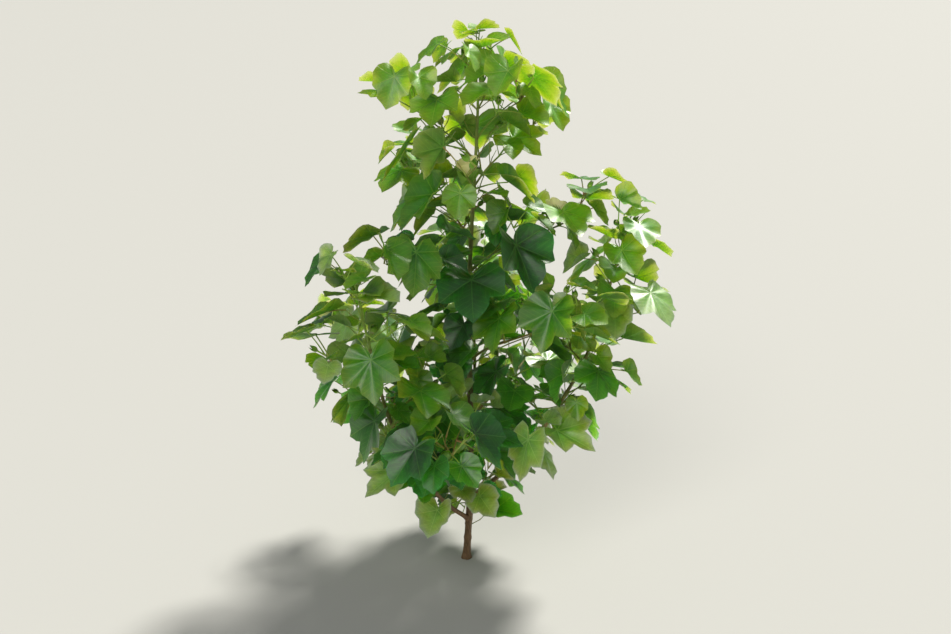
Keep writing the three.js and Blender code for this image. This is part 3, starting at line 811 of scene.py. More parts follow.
def finer_shoot(plant, start, azimuth, seed):
    draw = stream(seed)
    for _ in range(FINER["tries"]):
        way = azimuth + draw(-FINER["azimuth"], FINER["azimuth"])
        rise = draw(*FINER["elevation"])
        half = draw(*FINER["length"]) / 2
        middle = moved(start, way, rise, half)
        bent = way + draw(-FINER["bend"], FINER["bend"])
        path = [start, middle, moved(middle, bent, rise + FINER["rise"], half)]
        radii = taper(path, FINER["radius"], FINER["radius"] * TWIG_TAPER)
        samples = twig_samples(path, radii)
        inside = in_crown(samples[0]).all() and not in_gap(samples[0]).any()
        if inside and plant.placed.twig_is_clear(samples, start, FINER["twig_room"]):
            break
    else:
        return
    plant.placed.occupy(samples)
    spray = {"name": None, "twigs": [(path, radii)], "stalks": [], "leaves": [], "fruits": []}
    plant.finer.append(spray)
    if draw(0, 1) < FINER["buds"]:
        site = {"mass": spray, "from": path[-1], "seed": seed + 1, "azimuth": bent}
        grow_fruit(plant, {**site, "days": draw(*FINER["bud_days"])})
    for i in range(FINER["leaves"]):
        site = {
            "mass": spray,
            "from": path[1] if i == 0 else path[2],
            "seed": seed + 2 + i,
            "azimuth": way + (i - (FINER["leaves"] - 1) / 2) * FINER["fan"],
            "elevation": draw(*FINER["leaf_rise"]),
            "stalk": draw(*FINER["stalk"]),
            "length": LEAF_LENGTH * draw(*FINER["leaf"]),
            "pitch": FINER["pitch"],
            "form": FINER["form"],
        }
        grow_leaf(plant, site, FINER["leaf_tries"], FINER["leaf_room"], FINER["twig_room"])


def grow_finer_shoots(plant):
    """Carries the rule on from the joints of the twigs and from along the boughs, and
    leaves the open flowers free."""
    for mass in plant.masses.values():
        for fruit in mass["fruits"]:
            if fruit["kind"] == "flower":
                outward = fruit["axis"] * (1, 1, 0)
                middle = fruit["from"] + fruit["axis"] * FLOWER_MIDDLE
                steps = (0, FLOWER_ROOM, 2 * FLOWER_ROOM)
                balls = np.array([middle + outward * step for step in steps])
                plant.placed.occupy((balls, np.full(len(balls), FLOWER_ROOM)))
    starts = []
    for mass in plant.masses.values():
        for path, _ in mass["twigs"]:
            for before, joint in zip(path, path[1:]):
                step = joint - before
                azimuth = math.degrees(math.atan2(step[1], step[0]))
                starts += [(joint, azimuth + FINER["aside"]), (joint, azimuth - FINER["aside"])]
    for path, radii in plant.boughs.values():
        line, _ = smooth_line(path, radii, FINER["spacing"])
        for number, point in enumerate(line[1:-1]):
            starts.append((point, number * TURN))
    for node in range(FIRST_WITHOUT_BOUGH, STEM_NODES):
        starts.append((stem_point(NODE_HEIGHTS[node]), node_azimuth(node) + 180))
    for number, (start, azimuth) in enumerate(starts):
        finer_shoot(plant, start, azimuth, SEEDS["finer"] + number * SEEDS_PER_NODE)


# Meshes from arrays


SHARP_ANGLE = math.radians(75)


def mesh_object(name, points, faces):
    mesh = bpy.data.meshes.new(name)
    mesh.from_pydata([tuple(point) for point in points], [], faces)
    mesh.polygons.foreach_set("use_smooth", [True] * len(mesh.polygons))
    mesh.update()
    return linked(name, mesh)


def linked(name, data):
    item = bpy.data.objects.new(name, data)
    bpy.context.scene.collection.objects.link(item)
    return item


def turned_over(face):
    """A face seen from behind, still split along the same diagonal."""
    return (face[0], *face[:0:-1])


def set_attribute(mesh, name, kind, domain, values):
    attribute = mesh.attributes.new(name, kind, domain)
    field = "vector" if kind == "FLOAT_VECTOR" else "value"
    attribute.data.foreach_set(field, np.asarray(values).ravel())


def set_map(mesh, places):
    """Writes each face corner's place on the map of patterns."""
    layer = mesh.uv_layers.new(name="OFBake")
    layer.data.foreach_set("uv", np.asarray(places, np.float32).ravel())


ACROSS = np.array((0.31, 0.94, 0.12))


def ring_frames(path, first=None):
    """Two directions across a line at each of its points."""
    path = np.asarray(path)
    axes = np.vstack((path[1] - path[0], path[2:] - path[:-2], path[-1] - path[-2]))
    if first is not None:
        axes[0] = first
    axes /= np.linalg.norm(axes, axis=1, keepdims=True)
    side = ACROSS - axes * (axes @ ACROSS)[:, None]
    side /= np.linalg.norm(side, axis=1, keepdims=True)
    return side, np.cross(axes, side)


def tube(path, radii, first=None):
    """Points and faces of a closed tube. radii has a row for each ring and a column for
    each side."""
    rings, sides = radii.shape
    side, across = ring_frames(path, first)
    angles = np.arange(sides) * 2 * math.pi / sides
    round_way = side[:, None] * np.cos(angles)[:, None] + across[:, None] * np.sin(angles)[:, None]
    points = (np.asarray(path)[:, None] + round_way * radii[:, :, None]).reshape(-1, 3)
    faces = []
    for low in range(0, (rings - 1) * sides, sides):
        for i in range(sides):
            j = (i + 1) % sides
            faces.append((low + i, low + j, low + sides + j, low + sides + i))
    faces.append(tuple(range(sides))[::-1])
    faces.append(tuple((rings - 1) * sides + i for i in range(sides)))
    return points, faces


def joined(parts):
    """Several parts' points and faces as one."""
    faces, offset = [], 0
    for part_points, part_faces in parts:
        faces.extend([tuple(i + offset for i in face) for face in part_faces])
        offset += len(part_points)
    return np.vstack([part_points for part_points, part_faces in parts]), faces


def smooth_line(path, values, step):
    """A smooth line through a path's points, with the values carried along it."""
    points = np.asarray(path)
    ends = np.vstack((2 * points[0] - points[1], points, 2 * points[-1] - points[-2]))
    line, carried = [], []
    for i in range(len(points) - 1):
        a, b, c, d = ends[i : i + 4]
        count = max(2, math.ceil(np.linalg.norm(c - b) / step))
        for k in range(count):
            t = k / count
            bend = (c - a) * t + (2 * a - 5 * b + 4 * c - d) * t**2 + (3 * b - a - 3 * c + d) * t**3
            line.append(b + bend / 2)
            carried.append(mix(values[i], values[i + 1], t))
    return np.array(line + [points[-1]]), np.array(carried + [values[-1]])


# Bark: the main stem with its leaf scars, and boughs with collars at their feet
RIDGE = 0.035
STEM_SIDES = 20
BOUGH_SIDES = 12
NODE_SWELL = 0.16
NODE_LENGTH = 0.006
SCAR = 0.24
SCAR_LENGTH = 0.003
BARK_STEP = 0.0035
COLLAR = 0.55
COLLAR_LENGTH = 0.005
JOINT_SWELL = 0.12
RIDGES = 5
FINE_RIDGES = 11
FINE_SHARE = 0.4
WANDER = {"width": 0.9, "waves": 31, "wind": 4, "fine": 2.3}
STEM_TWIST = 0.4


def hump(lengths, place, width):
    return np.exp(-(((lengths - place) / width) ** 2))


def ridged(radii, lengths, sides, twist):
    """Shallow ridges that run along a limb and wander round it."""
    angles = np.arange(sides) * 2 * math.pi / sides
    wander = WANDER["width"] * np.sin(lengths * WANDER["waves"] + twist) + lengths * WANDER["wind"]
    ridges = np.cos(RIDGES * angles[None] + wander[:, None])
    fine = np.cos(FINE_RIDGES * angles[None] - WANDER["fine"] * wander[:, None] + twist)
    return radii[:, None] * (1 + RIDGE * ridges + FINE_SHARE * RIDGE * fine)


def stem_mesh():
    heights = np.linspace(0, STEM_HEIGHT, round(STEM_HEIGHT / BARK_STEP) + 1)
    path = [stem_point(z) for z in heights]
    plain = np.array([stem_radius(z) for z in heights])
    radii = ridged(plain, heights, STEM_SIDES, STEM_TWIST)
    side, across = ring_frames(path, UP)
    angles = np.arange(STEM_SIDES) * 2 * math.pi / STEM_SIDES
    for node, level in enumerate(NODE_HEIGHTS):
        radii *= 1 + NODE_SWELL * hump(heights, level, NODE_LENGTH)[:, None]
        way = heading(node_azimuth(node), 0)
        facing = (side @ way)[:, None] * np.cos(angles) + (across @ way)[:, None] * np.sin(angles)
        scar = hump(heights, level - STEM_LEAF_DROP, SCAR_LENGTH)[:, None]
        radii *= 1 + SCAR * scar * np.maximum(0, facing) ** 3
    return tube(path, radii, UP)


def bough_mesh(path, radii, number):
    line, sizes = smooth_line(path, radii, BOUGH_STEP * BARK_STEP)
    lengths = np.concatenate(([0], np.cumsum(np.linalg.norm(np.diff(line, axis=0), axis=1))))
    bare = np.maximum(0, lengths - stem_radius(path[0][2]))
    collared = sizes * (1 + COLLAR * np.exp(-bare / COLLAR_LENGTH))
    shaped = ridged(collared, lengths, BOUGH_SIDES, number)
    for point in path[1:]:
        away = np.linalg.norm(line - point, axis=1)
        shaped *= 1 + JOINT_SWELL * hump(away, 0, COLLAR_LENGTH)[:, None]
    return tube(line, shaped)


# Leaf shapes. Each blade is one long, and is a hub, inner rings and a rim on each face.
BLADE_THICKNESS = 0.011
QUILT = 0.075
KEEL = 0.035
RIM_POINTS = 36  # points of rim for a full turn, about
FULL_RINGS = (0.34, 0.7)
SMALL_RINGS = (0.6,)

# Outlines of one half, from the tip round to the joint: degrees, share of the length, how
# far the rim's wave lifts it, and how far the edge bulges on its way to the next
FIVE_LOBED = (
    (0, 1.06, -1, 0.10),
    (26, 0.66, 1, 0.04),
    (50, 0.90, -1, 0.08),
    (79, 0.61, 0.9, 0.02),
    (101, 0.65, -0.4, 0.05),
    (142, 0.56, 0.3, 0.4),
    (180, 0.13, 0, 0),
)
THREE_LOBED = (
    (0, 1.06, -1, 0.11),
    (31, 0.69, 1, 0.03),
    (51, 0.86, -1, 0.09),
    (90, 0.61, 0.5, 0.05),
    (138, 0.57, 0.3, 0.4),
    (180, 0.13, 0, 0),
)
POINTED = (
    (0, 1.06, -1, 0.12),
    (34, 0.72, 0.8, 0.02),
    (52, 0.76, -0.7, 0.06),
    (92, 0.60, 0.4, 0.08),
    (140, 0.52, 0.2, 0.5),
    (180, 0.13, 0, 0),
)
TIP_SHARPNESS = 0.5

# A leaf's map: its upper face on the left half and its under face on the right
MAP_WIDTH = 3.2
MAP_LENGTH = 1.6
MAP_BASE = 0.5
UPPER_MIDDLE = 0.25
UNDER_MIDDLE = 0.75


def swelling(share, lift, bulge):
    """How far the edge leaves the chord on its way: out near a notch, less near a tip."""
    from_tip = share if lift < 0 else 1 - share
    hollow = TIP_SHARPNESS * math.sin(2 * math.pi * from_tip)
    return 1 + bulge * (math.sin(math.pi * from_tip) - hollow)


def blade_outline(corners, share_of_points):
    """The rim's turns, radii and lifts, all round."""
    half = []
    for (a, p, lift_a, bulge), (b, q, lift_b, _) in zip(corners, corners[1:]):
        steps = max(2, round((b - a) * RIM_POINTS / 360 * share_of_points + 0.6))
        for i in range(steps):
            t = i / steps
            near, far = math.radians((b - a) * t), math.radians((b - a) * (1 - t))
            chord = p * q * math.sin(near + far) / (p * math.sin(near) + q * math.sin(far))
            lift = mix(lift_a, lift_b, t * t * (3 - 2 * t))
            half.append((mix(a, b, t), chord * swelling(t, lift_a, bulge), lift))
    right = [(-turn, share, lift) for turn, share, lift in half[1:]]
    return np.array(right[::-1] + half + [corners[-1][:3]])


def leaf_shape(name, corners, share_of_points, rings):
    """A blade whose parts of cup, droop and wave, and of fold, twist and ruffle, are held
    in attributes, to be added by each leaf's own amounts. Its two faces meet at the rim."""
    outline = blade_outline(corners, share_of_points)
    turns, reach, lift = np.radians(outline[:, 0]), outline[:, 1], outline[:, 2]
    count = len(outline)
    between = 0.5 - 0.5 * np.cos(2 * math.pi * outline[:, 0] / LOBE_TURN)
    points, parts, bends = [], [], []

    def add_ring(share, face):
        height = (QUILT * between - KEEL * (1 - between)) * share * (1.15 - share)
        height += face * BLADE_THICKNESS / 2 * (1 - share)
        flat = (share * reach * np.cos(turns), share * reach * np.sin(turns))
        points.extend(np.column_stack((*flat, height)))
        droop = -(share**1.5) * np.maximum(0, np.cos(turns))
        parts.extend(np.column_stack((share**1.25 * np.sin(turns) ** 2, droop, share**1.6 * lift)))
        fold = share * reach * np.abs(np.sin(turns))
        twist = share**2 * reach * np.sin(2 * turns)
        ruffle = share**3 * np.sin(7 * turns + 1)
        bends.extend(np.column_stack((fold, twist, ruffle)))
        return len(points) - count

    faces, under = [], []
    rim = add_ring(1, 0)
    for face in (1, -1):
        starts = [add_ring(share, face) for share in rings] + [rim]
        hub = len(points)
        points.append((0, 0, face * BLADE_THICKNESS / 2))
        parts.append((0, 0, 0))
        bends.append((0, 0, 0))
        for i in range(count):
            j = (i + 1) % count
            patches = [(hub, starts[0] + i, starts[0] + j)]
            patches += [(low + i, high + i, high + j, low + j) for low, high in zip(starts, starts[1:])]
            faces += patches if face > 0 else [turned_over(patch) for patch in patches]
            under += [face < 0] * len(patches)
    piece = mesh_object(name, points, faces)
    mesh = piece.data
    mesh.set_sharp_from_angle(angle=SHARP_ANGLE)
    set_attribute(mesh, "parts", "FLOAT_VECTOR", "POINT", parts)
    set_attribute(mesh, "bends", "FLOAT_VECTOR", "POINT", bends)
    set_attribute(mesh, "under", "BOOLEAN", "FACE", under)
    places = []
    for polygon, below in zip(mesh.polygons, under):
        middle = UNDER_MIDDLE if below else UPPER_MIDDLE
        for vertex in polygon.vertices:
            x, y = points[vertex][:2]
            places.append((y / MAP_WIDTH + middle, (x + MAP_BASE) / MAP_LENGTH))
    set_map(mesh, places)
    return piece


# Buds, flowers and bolls


def sheet(grid, thickness):
    """Points, faces and map places of a closed thin sheet from a grid of points. Its two
    faces meet along the grid's edge."""
    rows, columns = grid.shape[:2]
    normals = np.cross(np.gradient(grid, axis=1), np.gradient(grid, axis=0))
    normals /= np.maximum(1e-9, np.linalg.norm(normals, axis=2, keepdims=True))
    inside = np.zeros((rows, columns), bool)
    inside[1:-1, 1:-1] = True
    lift = normals * inside[..., None] * thickness / 2
    front = np.arange(rows * columns).reshape(rows, columns)
    back = front.copy()
    back[inside] = rows * columns + np.arange(inside.sum())
    points = np.vstack(((grid + lift).reshape(-1, 3), (grid - lift)[inside]))
    faces, places = [], []
    for index, way in ((front, 1), (back, -1)):
        for r in range(rows - 1):
            for c in range(columns - 1):
                corners = ((r, c), (r, c + 1), (r + 1, c + 1), (r + 1, c))
                corners = corners if way > 0 else turned_over(corners)
                faces.append(tuple(int(index[corner]) for corner in corners))
                places += [(column / (columns - 1), row / (rows - 1)) for row, column in corners]
    return points, faces, places


def whorl(name, count, thickness, rows, columns, place):
    """Sheets in a ring round an axis, such as petals or bracts. place gives the radius,
    turn and height of a point that is across (-1 to 1) and up (0 to 1) a sheet."""
    parts, places = [], []
    for number in range(count):
        grid = np.empty((rows, columns, 3))
        for row in range(rows):
            for column in range(columns):
                across = 2 * column / (columns - 1) - 1
                radius, turn, height = place(across, row / (rows - 1), number)
                turn += 2 * math.pi * number / count
                grid[row, column] = (radius * math.cos(turn), radius * math.sin(turn), height)
        points, faces, corners = sheet(grid, thickness)
        parts.append((points, faces))
        places += corners
    piece = mesh_object(name, *joined(parts))
    piece.data.set_sharp_from_angle(angle=SHARP_ANGLE)
    set_map(piece.data, places)
    return piece


BRACT_LENGTH = 0.030
BRACT_FOOT = 0.0022
BRACT_TEETH = 5
BRACT_WIDTH = 62
BRACT_THICKNESS = 0.0005


def bracts_shape(name, belly, mouth, turn=0):
    """Three toothed bracts round a bud or boll. belly and mouth are their radii, and turn
    is how far the first stands from a petal's middle."""

    def place(across, up, number):
        tooth = abs(math.cos(math.pi * BRACT_TEETH * across))
        edge = 1 - (0.30 + 0.34 * abs(across)) * (1 - tooth) * up**2 - 0.30 * abs(across) ** 2.2 * up
        radius = mix(BRACT_FOOT, belly, min(1, up / 0.4) ** 0.6)
        radius = mix(radius, mouth, max(0, up - 0.4) / 0.6) * (1 + 0.10 * abs(across) * up)
        width = math.radians(BRACT_WIDTH) * (0.42 + 0.58 * math.sin(math.pi * min(1, 0.12 + up * 0.8)))
        dip = -0.0022 * math.sin(math.pi * min(1, up * 4)) * abs(across)
        return radius, across * width + turn, BRACT_LENGTH * up * edge + dip

    return whorl(name, 3, BRACT_THICKNESS, 5, 4 * BRACT_TEETH + 1, place)


PETAL_LENGTH = 0.045
PETAL_RADIUS = 0.024
PETAL_WIDTH = 54
PETAL_FOOT = 0.003
PETAL_THICKNESS = 0.0006


def petals_shape(name):
    """Five broad petals, each with one side over its neighbour, in a half-open cup."""

    def place(across, up, number):
        reach = up * (1 - 0.16 * across**2 * up)
        radius = mix(PETAL_FOOT, PETAL_RADIUS, reach**1.15)
        radius += 0.0012 * across * up + 0.0016 * math.sin(across * 5 + number) * up**2
        width = math.radians(PETAL_WIDTH) * (0.35 + 0.65 * min(1, up * 1.7))
        return radius, across * width + 0.35 * up, PETAL_LENGTH * (reach - 0.10 * max(0, up - 0.75))

    return whorl(name, 5, PETAL_THICKNESS, 7, 9, place)


def turned_shape(name, rings, sides, length, radius_at, wave):
    """A shape turned round its axis, closed at both ends. wave(turn, share) bends it."""
    points, faces, places = [(0, 0, 0)], [], []
    for ring in range(1, rings):
        share = ring / rings
        for side in range(sides):
            turn = 2 * math.pi * side / sides
            radius = radius_at(share) * wave(turn, share)
            points.append((radius * math.cos(turn), radius * math.sin(turn), length * share))
    points.append((0, 0, length))
    for side in range(sides):
        after = (side + 1) % sides
        left, right = side / sides, (side + 1) / sides
        for ring in range(rings):
            low, high = 1 + (ring - 1) * sides, 1 + ring * sides
            corners = [(low + side, left, ring), (low + after, right, ring)]
            corners += [(high + after, right, ring + 1), (high + side, left, ring + 1)]
            if ring == 0:
                corners[:2] = [(0, (left + right) / 2, 0)]
            if ring == rings - 1:
                corners[2:] = [(len(points) - 1, (left + right) / 2, rings)]
            faces.append(tuple(corner[0] for corner in corners))
            places += [(across, up / rings) for _, across, up in corners]
    piece = mesh_object(name, points, faces)
    set_map(piece.data, places)
    return piece


# Length and greatest radius of the shapes turned round an axis
BOLL = (0.037, 0.0145)
CANDLE = (0.040, 0.0078)
CLOSED_BUD = (0.020, 0.0062)
STAMENS = (0.030, 0.0030)
COLUMN_RADIUS = 0.0012
SEAM_DEPTH = 0.055


def boll_shape(name):
    """A green boll: egg-shaped with a short beak and four shallow seams."""
    radius_at = lambda t: BOLL[1] * math.sin(math.pi * t**0.86) ** 0.72 * (1 - 0.25 * t**3)
    seam = lambda turn, t: 1 - SEAM_DEPTH * abs(math.cos(2 * turn)) ** 6 * math.sin(math.pi * t)
    return turned_shape(name, 10, 16, BOLL[0], radius_at, seam)


def candle_shape(name):
    """A flower still furled: a pointed bud of petals wound round each other."""
    radius_at = lambda t: CANDLE[1] * math.sin(math.pi * (0.18 + 0.82 * t)) ** 0.8
    wound = lambda turn, t: 1 + 0.10 * math.cos(5 * turn - 7 * t)
    return turned_shape(name, 8, 15, CANDLE[0], radius_at, wound)


def closed_bud_shape(name):
    radius_at = lambda t: CLOSED_BUD[1] * math.sin(math.pi * (0.25 + 0.75 * t)) ** 0.7
    return turned_shape(name, 6, 10, CLOSED_BUD[0], radius_at, lambda turn, t: 1)


def stamens_shape(name):
    """The column of stamens in the middle of a flower, rough with anthers."""
    radius_at = lambda t: COLUMN_RADIUS + STAMENS[1] * math.sin(math.pi * min(1, 0.1 + t))
    rough = lambda turn, t: 1 + 0.28 * math.cos(6 * turn + 40 * t)
    return turned_shape(name, 12, 12, STAMENS[0], radius_at, rough)


# Geometry Nodes


def add_node(tree, kind, **settings):
    node = tree.nodes.new(kind)
    for name, value in settings.items():
        setattr(node, name, value)
    return node


def named(tree, name, kind):
    node = add_node(tree, "GeometryNodeInputNamedAttribute", data_type=kind)
    node.inputs["Name"].default_value = name
    return node.outputs["Attribute"]


def step(tree, kind, inputs, output, **settings):
    """A node with its inputs linked or set, and the socket that leads on from it."""
    node = add_node(tree, kind, **settings)
    for name, value in inputs.items():
        if isinstance(value, bpy.types.NodeSocket):
            tree.links.new(value, node.inputs[name])
        else:
            node.inputs[name].default_value = value
    return node.outputs[output]


def new_tree(name, kind, inputs, outputs):
    tree = bpy.data.node_groups.new(name, kind)
    for way, sockets in (("INPUT", inputs), ("OUTPUT", outputs)):
        for title, socket in sockets:
            tree.interface.new_socket(title, in_out=way, socket_type="NodeSocket" + socket)
    return tree, add_node(tree, "NodeGroupInput").outputs, add_node(tree, "NodeGroupOutput").inputs


def shapes_on_points():
    """Sets a shape on each point by the point's turn and size, and bends it by the point's
    own amounts of each of the ways of bending that the shape holds."""
    inputs = (("Geometry", "Geometry"), ("Shape", "Object"))
    inputs += (("Upper", "Material"), ("Under", "Material"))
    tree, entry, leaving = new_tree("Shapes on points", "GeometryNodeTree", inputs, inputs[:1])
    shape = step(tree, "GeometryNodeObjectInfo", {"Object": entry["Shape"]}, "Geometry")
    put = {"Points": entry["Geometry"], "Instance": shape, "Scale": named(tree, "size", "FLOAT")}
    put["Rotation"] = named(tree, "turn", "FLOAT_VECTOR")
    made = step(tree, "GeometryNodeInstanceOnPoints", put, "Instances")
    made = step(tree, "GeometryNodeRealizeInstances", {"Geometry": made}, "Geometry")
    lifts = []
    for shares, amounts in (("parts", "amounts"), ("bends", "bending")):
        both = {0: named(tree, shares, "FLOAT_VECTOR"), 1: named(tree, amounts, "FLOAT_VECTOR")}
        lifts.append(step(tree, "ShaderNodeVectorMath", both, "Value", operation="DOT_PRODUCT"))
    amount = step(tree, "ShaderNodeMath", dict(enumerate(lifts)), "Value", operation="ADD")
    sized = {0: amount, 1: named(tree, "size", "FLOAT")}
    amount = step(tree, "ShaderNodeMath", sized, "Value", operation="MULTIPLY")
    lift = {0: named(tree, "up", "FLOAT_VECTOR"), "Scale": amount}
    lift = step(tree, "ShaderNodeVectorMath", lift, "Vector", operation="SCALE")
    made = step(tree, "GeometryNodeSetPosition", {"Geometry": made, "Offset": lift}, "Geometry")
    above = {"Geometry": made, "Material": entry["Upper"]}
    made = step(tree, "GeometryNodeSetMaterial", above, "Geometry")
    below = {"Geometry": made, "Selection": named(tree, "under", "BOOLEAN"), "Material": entry["Under"]}
    tree.links.new(step(tree, "GeometryNodeSetMaterial", below, "Geometry"), leaving["Geometry"])
    return tree


def stalks_on_lines():
    """Turns lines of edges into round stalks, by the thickness held at each point."""
    inputs = (("Geometry", "Geometry"), ("Sides", "Int"), ("Material", "Material"))
    tree, entry, leaving = new_tree("Stalks on lines", "GeometryNodeTree", inputs, inputs[:1])
    line = step(tree, "GeometryNodeMeshToCurve", {"Mesh": entry["Geometry"]}, "Curve")
    ring = step(tree, "GeometryNodeCurvePrimitiveCircle", {"Resolution": entry["Sides"]}, "Curve")
    skin = {"Curve": line, "Profile Curve": ring, "Fill Caps": True}
    skin["Scale"] = named(tree, "thickness", "FLOAT")
    made = step(tree, "GeometryNodeCurveToMesh", skin, "Mesh")
    made = step(tree, "GeometryNodeSetShadeSmooth", {"Geometry": made}, "Geometry")
    made = step(tree, "GeometryNodeRealizeInstances", {"Geometry": made}, "Geometry")
    painted = {"Geometry": made, "Material": entry["Material"]}
    tree.links.new(step(tree, "GeometryNodeSetMaterial", painted, "Geometry"), leaving["Geometry"])
    return tree


WORKING_ATTRIBUTES = (
    "turn", "size", "amounts", "bending", "up", "parts", "bends", "under", "thickness",
)


def grown(name, host, tree, values):
    """The plain mesh that a tree makes from a host object, as a piece of its own."""
    modifier = host.modifiers.new(tree.name, "NODES")
    modifier.node_group = tree
    for socket in tree.interface.items_tree:
        if socket.name in values:
            modifier[socket.identifier] = values[socket.name]
    graph = bpy.context.evaluated_depsgraph_get()
    mesh = bpy.data.meshes.new_from_object(host.evaluated_get(graph), depsgraph=graph)
    mesh.name = name
    bpy.data.objects.remove(host)
    for extra in WORKING_ATTRIBUTES:
        if extra in mesh.attributes:
            mesh.attributes.remove(mesh.attributes[extra])
    return linked(name, mesh)


def points_object(name, places, sizes, vectors):
    host = mesh_object(name, places, [])
    set_attribute(host.data, "size", "FLOAT", "POINT", sizes)
    for title, values in vectors.items():
        set_attribute(host.data, title, "FLOAT_VECTOR", "POINT", values)
    return host


def lines_object(name, lines):
    """A host of edges along paths, with the radius at each point."""
    points, edges, radii = [], [], []
    for path, sizes in lines:
        edges += [(len(points) + i, len(points) + i + 1) for i in range(len(path) - 1)]
        points += [tuple(point) for point in path]
        radii += list(sizes)
    mesh = bpy.data.meshes.new(name)
    mesh.from_pydata(points, edges, [])
    set_attribute(mesh, "thickness", "FLOAT", "POINT", radii)
    return linked(name, mesh)


# Materials


def colour(red, green, blue):
    """A colour given from 0 to 255, as the shader's own numbers."""
    shares = (value / 255 for value in (red, green, blue))
    return (*(s / 12.92 if s <= 0.04045 else ((s + 0.055) / 1.055) ** 2.4 for s in shares), 1.0)


def darker(tone, share):
    return (*(value * share for value in tone[:3]), 1.0)


def calculate(tree, operation, *values):
    return step(tree, "ShaderNodeMath", dict(enumerate(values)), "Value", operation=operation)


def blend(tree, share, first, second):
    return step(tree, "ShaderNodeMix", {0: share, 6: first, 7: second}, 2, data_type="RGBA")


def between_limits(tree, value, low, high):
    """Maps a value from between two limits to 0 and 1, and holds it there."""
    limits = {"Value": value, "From Min": low, "From Max": high}
    return step(tree, "ShaderNodeMapRange", limits, "Result")


def noise(tree, place, scale):
    return step(tree, "ShaderNodeTexNoise", {"Vector": place, "Scale": scale, "Detail": 3.0}, "Fac")


def stretched(tree, place, scale):
    return step(tree, "ShaderNodeMapping", {"Vector": place, "Scale": scale}, "Vector")


def axis_of(tree, place, axis):
    return step(tree, "ShaderNodeSeparateXYZ", {"Vector": place}, axis)


def vein_group():
    """Veins of a blade by its map: main veins that fan out from the joint, side veins that
    leave them at a slant, and a fine net between."""
    outputs = (("Main", "Float"), ("Side", "Float"), ("Net", "Float"))
    inputs = (("Place", "Vector"), ("Middle", "Float"))
    tree, entry, leaving = new_tree("Leaf veins", "ShaderNodeTree", inputs, outputs)
    maths = lambda *values: calculate(tree, *values)
    y = maths("SUBTRACT", axis_of(tree, entry["Place"], "X"), entry["Middle"])
    y = maths("MULTIPLY", y, MAP_WIDTH)
    x = maths("MULTIPLY_ADD", axis_of(tree, entry["Place"], "Y"), MAP_LENGTH, -MAP_BASE)
    lobe = maths("DIVIDE", maths("ARCTAN2", y, x), math.radians(LOBE_TURN))
    off = maths("MULTIPLY", maths("SUBTRACT", lobe, maths("ROUND", lobe)), math.radians(LOBE_TURN))
    reach = maths("SQRT", maths("ADD", maths("MULTIPLY", x, x), maths("MULTIPLY", y, y)))
    aside = maths("MULTIPLY", reach, maths("ABSOLUTE", maths("SINE", off)))
    ahead = maths("MULTIPLY", reach, maths("COSINE", off))
    width = maths("MULTIPLY_ADD", reach, -0.012, 0.017)
    main = maths("MAXIMUM", maths("SUBTRACT", 1.0, maths("DIVIDE", aside, width)), 0.0)
    slant = maths("SUBTRACT", ahead, maths("MULTIPLY", aside, 0.85))
    wave = maths("PINGPONG", maths("MULTIPLY", slant, 8.5), 0.5)
    side = maths("MAXIMUM", maths("MULTIPLY_ADD", wave, -9.0, 1.0), 0.0)
    flat = step(tree, "ShaderNodeCombineXYZ", {"X": x, "Y": y}, "Vector")
    cells = {"Vector": flat, "Scale": 24.0}
    cells = step(tree, "ShaderNodeTexVoronoi", cells, "Distance", feature="DISTANCE_TO_EDGE")
    net = maths("MAXIMUM", maths("MULTIPLY_ADD", cells, -7.0, 1.0), 0.0)
    for title, value in (("Main", maths("POWER", main, 0.6)), ("Side", side), ("Net", net)):
        tree.links.new(value, leaving[title])
    return tree


def mottle_group():
    """Soft blotches of two colours, with their noise put out for relief."""
    inputs = (("Place", "Vector"), ("Scale", "Float"), ("Dark", "Color"), ("Light", "Color"))
    outputs = (("Colour", "Color"), ("Noise", "Float"))
    tree, entry, leaving = new_tree("Mottling", "ShaderNodeTree", inputs, outputs)
    value = noise(tree, entry["Place"], entry["Scale"])
    share = between_limits(tree, value, 0.35, 0.65)
    tree.links.new(blend(tree, share, entry["Dark"], entry["Light"]), leaving["Colour"])
    tree.links.new(value, leaving["Noise"])
    return tree


def placed_group(tree, group, **values):
    node = add_node(tree, "ShaderNodeGroup", node_tree=group)
    for name, value in values.items():
        if isinstance(value, bpy.types.NodeSocket):
            tree.links.new(value, node.inputs[name.capitalize()])
        else:
            node.inputs[name.capitalize()].default_value = value
    return node.outputs


def new_material(name):
    material = bpy.data.materials.new(name)
    material.use_nodes = True
    return material, material.node_tree, material.node_tree.nodes["Principled BSDF"]


def finish_surface(tree, shader, tone, roughness, height, strength, distance):
    tree.links.new(tone, shader.inputs["Base Color"])
    tree.links.new(roughness, shader.inputs["Roughness"])
    bump = {"Height": height, "Strength": strength, "Distance": distance}
    tree.links.new(step(tree, "ShaderNodeBump", bump, "Normal"), shader.inputs["Normal"])


# How far red, green and blue light go inside leaves and inside petals, bracts and bolls
LEAF_LIGHT = (0.6, 1.0, 0.12)
PETAL_LIGHT = (0.85, 1.0, 0.4)
LEAF_COAT = 0.8
COAT_ROUGHNESS = 0.38


def let_light_through(shader, weight, depth, radii):
    """How much light passes, how deep, and how far its red, green and blue go."""
    shader.inputs["Subsurface Weight"].default_value = weight
    shader.inputs["Subsurface Radius"].default_value = radii
    shader.inputs["Subsurface Scale"].default_value = depth


def map_place(tree):
    return add_node(tree, "ShaderNodeUVMap", uv_map="OFBake").outputs["UV"]


def object_place(tree):
    return add_node(tree, "ShaderNodeTexCoord").outputs["Object"]


